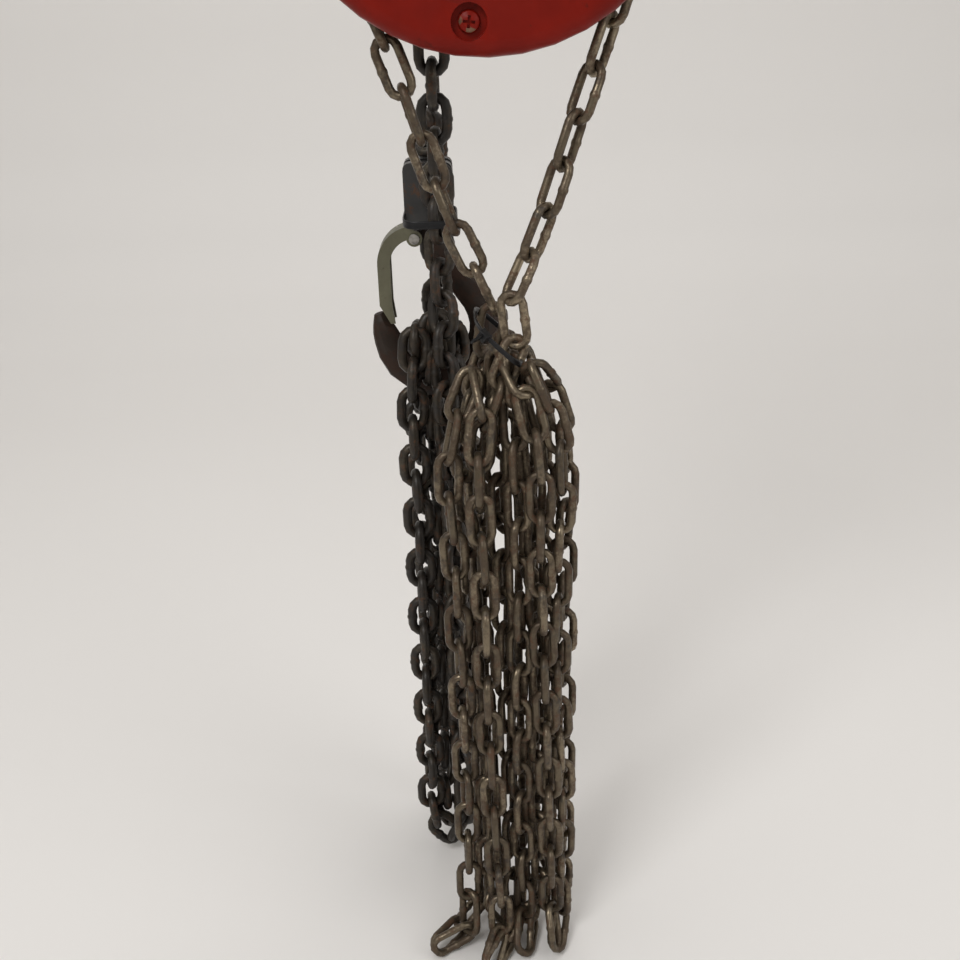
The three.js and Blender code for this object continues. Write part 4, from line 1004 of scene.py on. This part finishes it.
@dataclass
class LoadChain:
    """The load chain: from its dead end over the sheave, through the load hook and to the yoke.

    Attributes:
        link: Its link.
        axis_z: Height of the sheave's axis, in millimetres.
        sheave_radius: The sheave's pitch radius.
        dead_end_z: Height of the pin that holds its slack end.
        foot_z: Where the strands turn at the bottom.
        foot_rise: How far over it their hanging part ends.
        throat_z: Where the lowest strands cross the load hook's bowl.
        front_z: Height of the tops of the strands in front of the hook.
        back_z: Height of the tops of those behind it.
        spread_z: Height where all have spread out.
        middle_aside: How far the middle crossing stands aside for the opened latch.
        middle_rise: How far it lies over the others.
        wave_seed: Seed of the strands' waves.
        link_seed: Seed of the links' unevenness.
    """

    link: LinkShape = field(default_factory=lambda: LinkShape(6.3 * MM, 19.1 * MM, 21 * MM))
    axis_z: float = -190.0
    sheave_radius: float = 31.1
    dead_end_z: float = -262.0
    foot_z: float = -861.0
    foot_rise: float = 16.0
    throat_z: float = -478.0
    front_z: float = -452.0
    back_z: float = -476.0
    spread_z: float = -515.0
    middle_aside: float = 6.0
    middle_rise: float = 7.5
    wave_seed: int = 23
    link_seed: int = 5

    def strands(self) -> list[Strand]:
        """The eight strands, in the chain's own order, down and up by turns.

        Returns:
            The strands.
        """
        return [
            Strand((-30, -10), (-31, -13), (-30, -13), 40.0),
            Strand((-47, -4), (-52, -12), (-51, -12), 5.0),
            Strand((-48, 43), (-51, 47), (-50, 47), 70.0),
            Strand((-38, 46), (-40, 53.5), (-39, 53.5), 20.0),
            Strand((-38, 0), (-43, 0), (-42, 0), 80.0),
            Strand((-26, 0), (-22, -2), (-21, -1), 30.0),
            Strand((-27, 43), (-19, 47), (-19, 47), 10.0),
            Strand((-35, 52), (-30, 50), (-30, 48), 85.0),
        ]

    def route(self) -> tuple[list[Point], list[float], int]:
        """The whole chain's route from its dead end to the yoke.

        Returns:
            The points in metres, the chain's roll at each, and which point the free part starts at.
        """
        dice = random.Random(self.wave_seed)
        points = [(self.sheave_radius, 0, self.dead_end_z), (self.sheave_radius, 0, -225)]
        points += arc((0, self.axis_z), self.sheave_radius, 0, 180, 0, 10)
        points += [(-31.1, 0, -220)]
        rolls = [Face.FRONT.value] * len(points)
        free = len(points)
        points += [(-31.1, 0, -246), (-31.1, -0.6, -320), (-31.1, -2, -400), (-31, -5, -436)]
        rolls += [Face.FRONT.value, 6.0, 20.0, 35.0]
        strands = self.strands()
        for k, strand in enumerate(strands):
            front = strand.top[1] < 20
            top_z = self.front_z if front else self.back_z
            line = strand.points(top_z, self.spread_z, self.foot_z + self.foot_rise, dice)
            after = strands[k + 1] if k + 1 < len(strands) else None
            if k % 2 == 0:
                points += line
                rolls += [strand.face] * len(line)
                (x0, y0), (x1, y1) = strand.low, after.low
                points.append(((x0 + x1) / 2, (y0 + y1) / 2, self.foot_z))
                rolls.append((strand.face + after.face) / 2)
            else:
                points += line[::-1]
                rolls += [strand.face] * len(line)
                if after is not None:
                    middle = k == len(strands) // 2 - 1
                    x = (strand.top[0] + after.top[0]) / 2 + (self.middle_aside if middle else 0.0)
                    height = self.throat_z + (self.middle_rise if middle else 0.0)
                    forward = sorted((strand.top[1], after.top[1]))
                    first, last = forward[0] + 8, forward[1] - 9
                    if strand.top[1] > after.top[1]:
                        first, last = last, first
                    points += [(x, first, height - 2), (x, (first + last) / 2, height)]
                    points.append((x, last, height - 2))
                    rolls += [Face.ANGLED.value] * 3
        points += [(-35, 52, -425), (-35, 52, -400), (-34, 51, -363.5), (-34, 44, -345.5)]
        points += [(-36, 32, -341.5), (-37, 24, -352), (-37, 24, -369)]
        rolls += [85.0, 60.0, 30.0, 20.0, 20.0, 10.0, 0.0]
        return metres(points), rolls, free

    def build(self, dress: "Dresser") -> None:
        """Makes the free chain and the part that stays on the sheave.

        Args:
            dress: Gives each piece its finish.
        """
        route, rolls, free_at = self.route()
        chain = Chain("load chain", self.link, route, rolls, self.link_seed)
        chain.walk()
        first = chain.nearest_joint(route[free_at])
        kept = chain.lay("load_chain_on_sheave", 0, first)
        free = chain.lay("load_chain", first, len(chain.joints) - 1)
        for piece in (free, kept):
            dress.finish(piece, "load_chain")
            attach(piece, "hoist_frame")
        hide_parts("load_chain_run", "load_chain_end", "load_chain_hank")


# ---------- cable ties ----------


@dataclass
class CableTie:
    """A nylon cable tie: a ribbed strap pulled into a loop through its head, with its tail cut.

    Attributes:
        name: The piece's name.
        replaced: The CAD node it stands for.
        centre: The loop's centre, in millimetres.
        half: Half of the loop's length along X and along Y.
        tilt: How far the loop drops towards +X, in millimetres a millimetre.
        head_turn: Where round the loop the head is, in degrees from +X.
        width: Strap width.
        thickness: Strap thickness.
        tail: Length of the tail that stands out of the head.
        corner: How square the loop is: 1 is an ellipse, less is squarer.
        steps: Sections round the loop.
        rib: Depth of the grooves between its ribs.
    """

    name: str
    replaced: str
    centre: Point
    half: tuple[float, float]
    tilt: float
    head_turn: float
    width: float = 4.6
    thickness: float = 1.3
    tail: float = 9.0
    corner: float = 0.7
    steps: int = 120
    rib: float = 0.18

    def place(self, turn: float, rise: float, out: float) -> Vector:
        """A point of the strap.

        Args:
            turn: Where round the loop, in radians.
            rise: Height above the strap's middle, in millimetres.
            out: Distance outside the loop's inner face.

        Returns:
            The point, in metres.
        """
        c, s = math.cos(turn), math.sin(turn)
        reach = (abs(c) ** (2 / self.corner) + abs(s) ** (2 / self.corner)) ** (-self.corner / 2)
        x, y = (self.half[0] + out) * c * reach, (self.half[1] + out) * s * reach
        z = self.centre[2] + rise - self.tilt * x
        return Vector((self.centre[0] + x, self.centre[1] + y, z)) * MM

    def build(self, dress: "Dresser") -> None:
        """Makes the strap, its head and its tail as one piece.

        Args:
            dress: Gives the piece its finish.
        """
        verts: list[Vector] = []
        faces: list[tuple[int, ...]] = []
        w, t = self.width / 2, self.thickness
        for k in range(self.steps):
            turn = 2 * math.pi * k / self.steps
            rib = self.rib if k % 2 else 0.0
            section = (
                (-w, 0.2), (-w + 0.4, 0.0), (w - 0.4, 0.0), (w, 0.2),
                (w, t - 0.3), (w - 0.5, t), (w - 1.1, t - rib), (-w + 1.1, t - rib),
                (-w + 0.5, t), (-w, t - 0.3),
            )
            verts += [self.place(turn, rise, out) for rise, out in section]
        ring = len(section)
        for k in range(self.steps):
            here, ahead = k * ring, (k + 1) % self.steps * ring
            for s in range(ring):
                beside = (s + 1) % ring
                faces.append((here + s, ahead + s, ahead + beside, here + beside))
        self._head(verts, faces)
        piece = new_object(self.name, verts, faces)
        round_edges(piece, 0.25 * MM, math.radians(50))
        dress.finish(piece, "black_nylon")
        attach(piece, "hoist_frame")
        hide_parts(self.replaced)
        LOG.info("%s: loop and head", self.name)

    def _head(self, verts: list[Vector], faces: list[tuple[int, ...]]) -> None:
        """Adds the head, a tapered box, and the cut tail.

        Args:
            verts: The corners so far.
            faces: The faces so far.
        """
        turn = math.radians(self.head_turn)
        at = self.place(turn, 0.0, self.thickness * 0.5)
        ahead = (self.place(turn + 0.04, 0.0, self.thickness * 0.5) - at).normalized()
        up = Vector((0.0, 0.0, 1.0))
        up = (up - ahead * up.dot(ahead)).normalized()
        out = up.cross(ahead).normalized()
        if (self.place(turn, 0.0, 3.0) - at).dot(out) < 0:
            out = -out
        blocks = (
            (-3.2, 3.2, self.width / 2 + 1.0, -0.3, 4.2, 0.82),
            (-1.1, 0.5, self.width / 2 - 0.3, 4.0, 4.0 + self.tail, 0.9),
        )
        for low, high, half, inner, outer, taper in blocks:
            first = len(verts)
            for level, size in ((inner, 1.0), (outer, taper)):
                for u, v in ((low, -half), (high, -half), (high, half), (low, half)):
                    verts.append(
                        at + (ahead * (u * size) + up * (v * size) + out * level) * MM
                    )
            faces += [
                (first + 3, first + 2, first + 1, first),
                (first + 4, first + 5, first + 6, first + 7),
            ]
            for s in range(4):
                n = (s + 1) % 4
                faces.append((first + s, first + n, first + 4 + n, first + 4 + s))


TIES = (
    CableTie(
        "hand_chain_cable_tie", "hand_chain_tie", (2, -76, -445), (12.2, 20.5), 1.0, 238.0, width=3.8
    ),
    CableTie(
        "yoke_cable_tie", "yoke_tie", (-36.2, 11.2, -395.5), (15.2, 23.6), 0.0, 60.0, tail=3.0, corner=0.45
    ),
)


# ---------- CAD pieces ----------


@dataclass
class Dresser:
    """Gives finishes to pieces, and to the CAD solids that stay as they are.

    Attributes:
        groups: The shared node groups.
        materials: Each slot's material.
        crisp: CAD nodes whose teeth or small steps are left unrounded.
    """

    groups: NodeGroups = field(default_factory=NodeGroups)
    materials: dict[str, bpy.types.Material] = field(default_factory=dict)
    crisp: tuple[str, ...] = (
        "left_intermediate_gear",
        "right_intermediate_gear",
        "load_gear",
        "drive_shaft",
        "ratchet_disc",
        "hand_wheel",
        "load_sheave",
    )

    def __post_init__(self) -> None:
        """Builds every finish."""
        for finish in FINISHES:
            self.materials[finish.slot] = finish.build(self.groups)

    def finish(self, piece: bpy.types.Object, slot: str) -> None:
        """Gives a piece the material of a slot.

        Args:
            piece: The piece.
            slot: The record's slot.
        """
        self._paint(piece, slot)

    def _paint(self, piece: bpy.types.Object, slot: str) -> None:
        """Makes the slot's material the piece's only one."""
        piece.data.materials.clear()
        piece.data.materials.append(self.materials[SLOT_FINISH.get(slot, slot)])

    def solids(self) -> None:
        """Dresses every CAD solid that is still shown."""
        slots = {part["node"]: part["material_slot"] for part in frame["record"]["subparts"]}
        for name, solid in frame["nodes"].items():
            self._paint(solid, slots[name])
            self.soften(solid, Shading.CRISP if name in self.crisp else Shading.ROUNDED)
        LOG.info("dressed %d CAD solids", len(frame["nodes"]))

    @staticmethod
    def soften(solid: bpy.types.Object, shading: Shading) -> None:
        """Rounds a CAD solid's edges with modifiers and shades its curved walls smooth.

        Args:
            solid: The solid.
            shading: Whether its edges are rounded or left crisp.
        """
        mesh = solid.data
        if "custom_normal" in mesh.attributes:
            mesh.attributes.remove(mesh.attributes["custom_normal"])
        mesh.polygons.foreach_set("use_smooth", [True] * len(mesh.polygons))
        weld = solid.modifiers.new("weld", "WELD")
        weld.merge_threshold = WELD_REACH
        if shading is Shading.ROUNDED:
            round_edges(solid, EDGE_ROUND, SHARP_ANGLE).harden_normals = True
        else:
            split = solid.modifiers.new("split", "EDGE_SPLIT")
            split.split_angle = SHARP_ANGLE


# ---------- stage ----------


@dataclass
class Stage:
    """Floor, backdrop, lights and camera.

    Attributes:
        floor_z: Height of the floor.
        lens: The camera's lens, in millimetres.
        eye: Where the camera stands.
        pitch: How far it looks down, in degrees.
        roll: How far it is rolled, in degrees.
        reach: How far the floor goes to each side.
    """

    floor_z: float = -0.8752
    lens: float = 42.75
    eye: Point = (-0.0106, -0.687, -0.248)
    pitch: float = 25.0
    roll: float = -1.66
    reach: float = 5.0

    def camera(self) -> None:
        """Makes the camera and sets it."""
        data = bpy.data.cameras.new("camera")
        data.lens, data.sensor_width, data.clip_start = self.lens, 36.0, 0.01
        eye = bpy.data.objects.new("camera", data)
        tilted = Matrix.Rotation(math.radians(90.0 - self.pitch), 4, "X")
        rolled = Matrix.Rotation(math.radians(self.roll), 4, "Z")
        eye.matrix_world = Matrix.Translation(self.eye) @ tilted @ rolled
        bpy.context.scene.collection.objects.link(eye)
        bpy.context.scene.camera = eye

    def surfaces(self) -> None:
        """Makes the pale floor with a backdrop that curves up behind."""
        verts, faces = [], []
        profile = [
            (-5.0, 0.0), (0.9, 0.0), (1.1, 0.012), (1.28, 0.06),
            (1.42, 0.15), (1.5, 0.3), (1.53, 0.5), (1.53, 4.0),
        ]
        for y, z in profile:
            verts += [Vector((side, y, self.floor_z + z)) for side in (-self.reach, self.reach)]
        for k in range(len(profile) - 1):
            faces.append((2 * k, 2 * k + 1, 2 * k + 3, 2 * k + 2))
        floor = new_object("stage_floor", verts, faces)
        material = bpy.data.materials.new("pale_floor")
        material.use_nodes = True
        shader = material.node_tree.nodes["Principled BSDF"]
        shader.inputs["Base Color"].default_value = (0.79, 0.77, 0.75, 1.0)
        shader.inputs["Roughness"].default_value = 0.6
        floor.data.materials.append(material)

    def light(self, name: str, place: Point, aim: Point, size: float, power: float) -> None:
        """Makes one soft area light.

        Args:
            name: Its name.
            place: Where it stands.
            aim: What it points at.
            size: Its width.
            power: Its power in watts.
        """
        data = bpy.data.lights.new(name, "AREA")
        data.shape, data.size, data.energy = "SQUARE", size, power
        lamp = bpy.data.objects.new(name, data)
        lamp.location = place
        lamp.rotation_euler = (Vector(aim) - Vector(place)).to_track_quat("-Z", "Y").to_euler()
        bpy.context.scene.collection.objects.link(lamp)

    def build(self) -> None:
        """Makes the whole stage."""
        self.camera()
        self.surfaces()
        self.light("key", (-0.8, -1.3, 1.0), (0, 0, -0.5), 0.8, 20.0)
        self.light("fill", (1.4, -1.0, 0.3), (0, 0, -0.5), 1.2, 7.0)
        self.light("top", (0.1, 0.5, 1.5), (0, 0, -0.5), 1.6, 13.0)
        world = bpy.data.worlds.new("soft_sky")
        world.use_nodes = True
        sky = world.node_tree.nodes["Background"]
        sky.inputs["Color"].default_value = (1.0, 0.97, 0.92, 1.0)
        sky.inputs["Strength"].default_value = 0.42
        bpy.context.scene.world = world
        bpy.context.scene.view_settings.view_transform = "Standard"


# ---------- assembly ----------


def main() -> None:
    """Builds the hoist's looks round the CAD frame."""
    logging.basicConfig(level=logging.INFO, format="%(name)s: %(message)s")
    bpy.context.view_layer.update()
    Stage().build()
    dress = Dresser()
    HandChain().build(dress)
    LoadChain().build(dress)
    for tie in TIES:
        tie.build(dress)
    dress.solids()


if __name__ == "__main__":
    main()
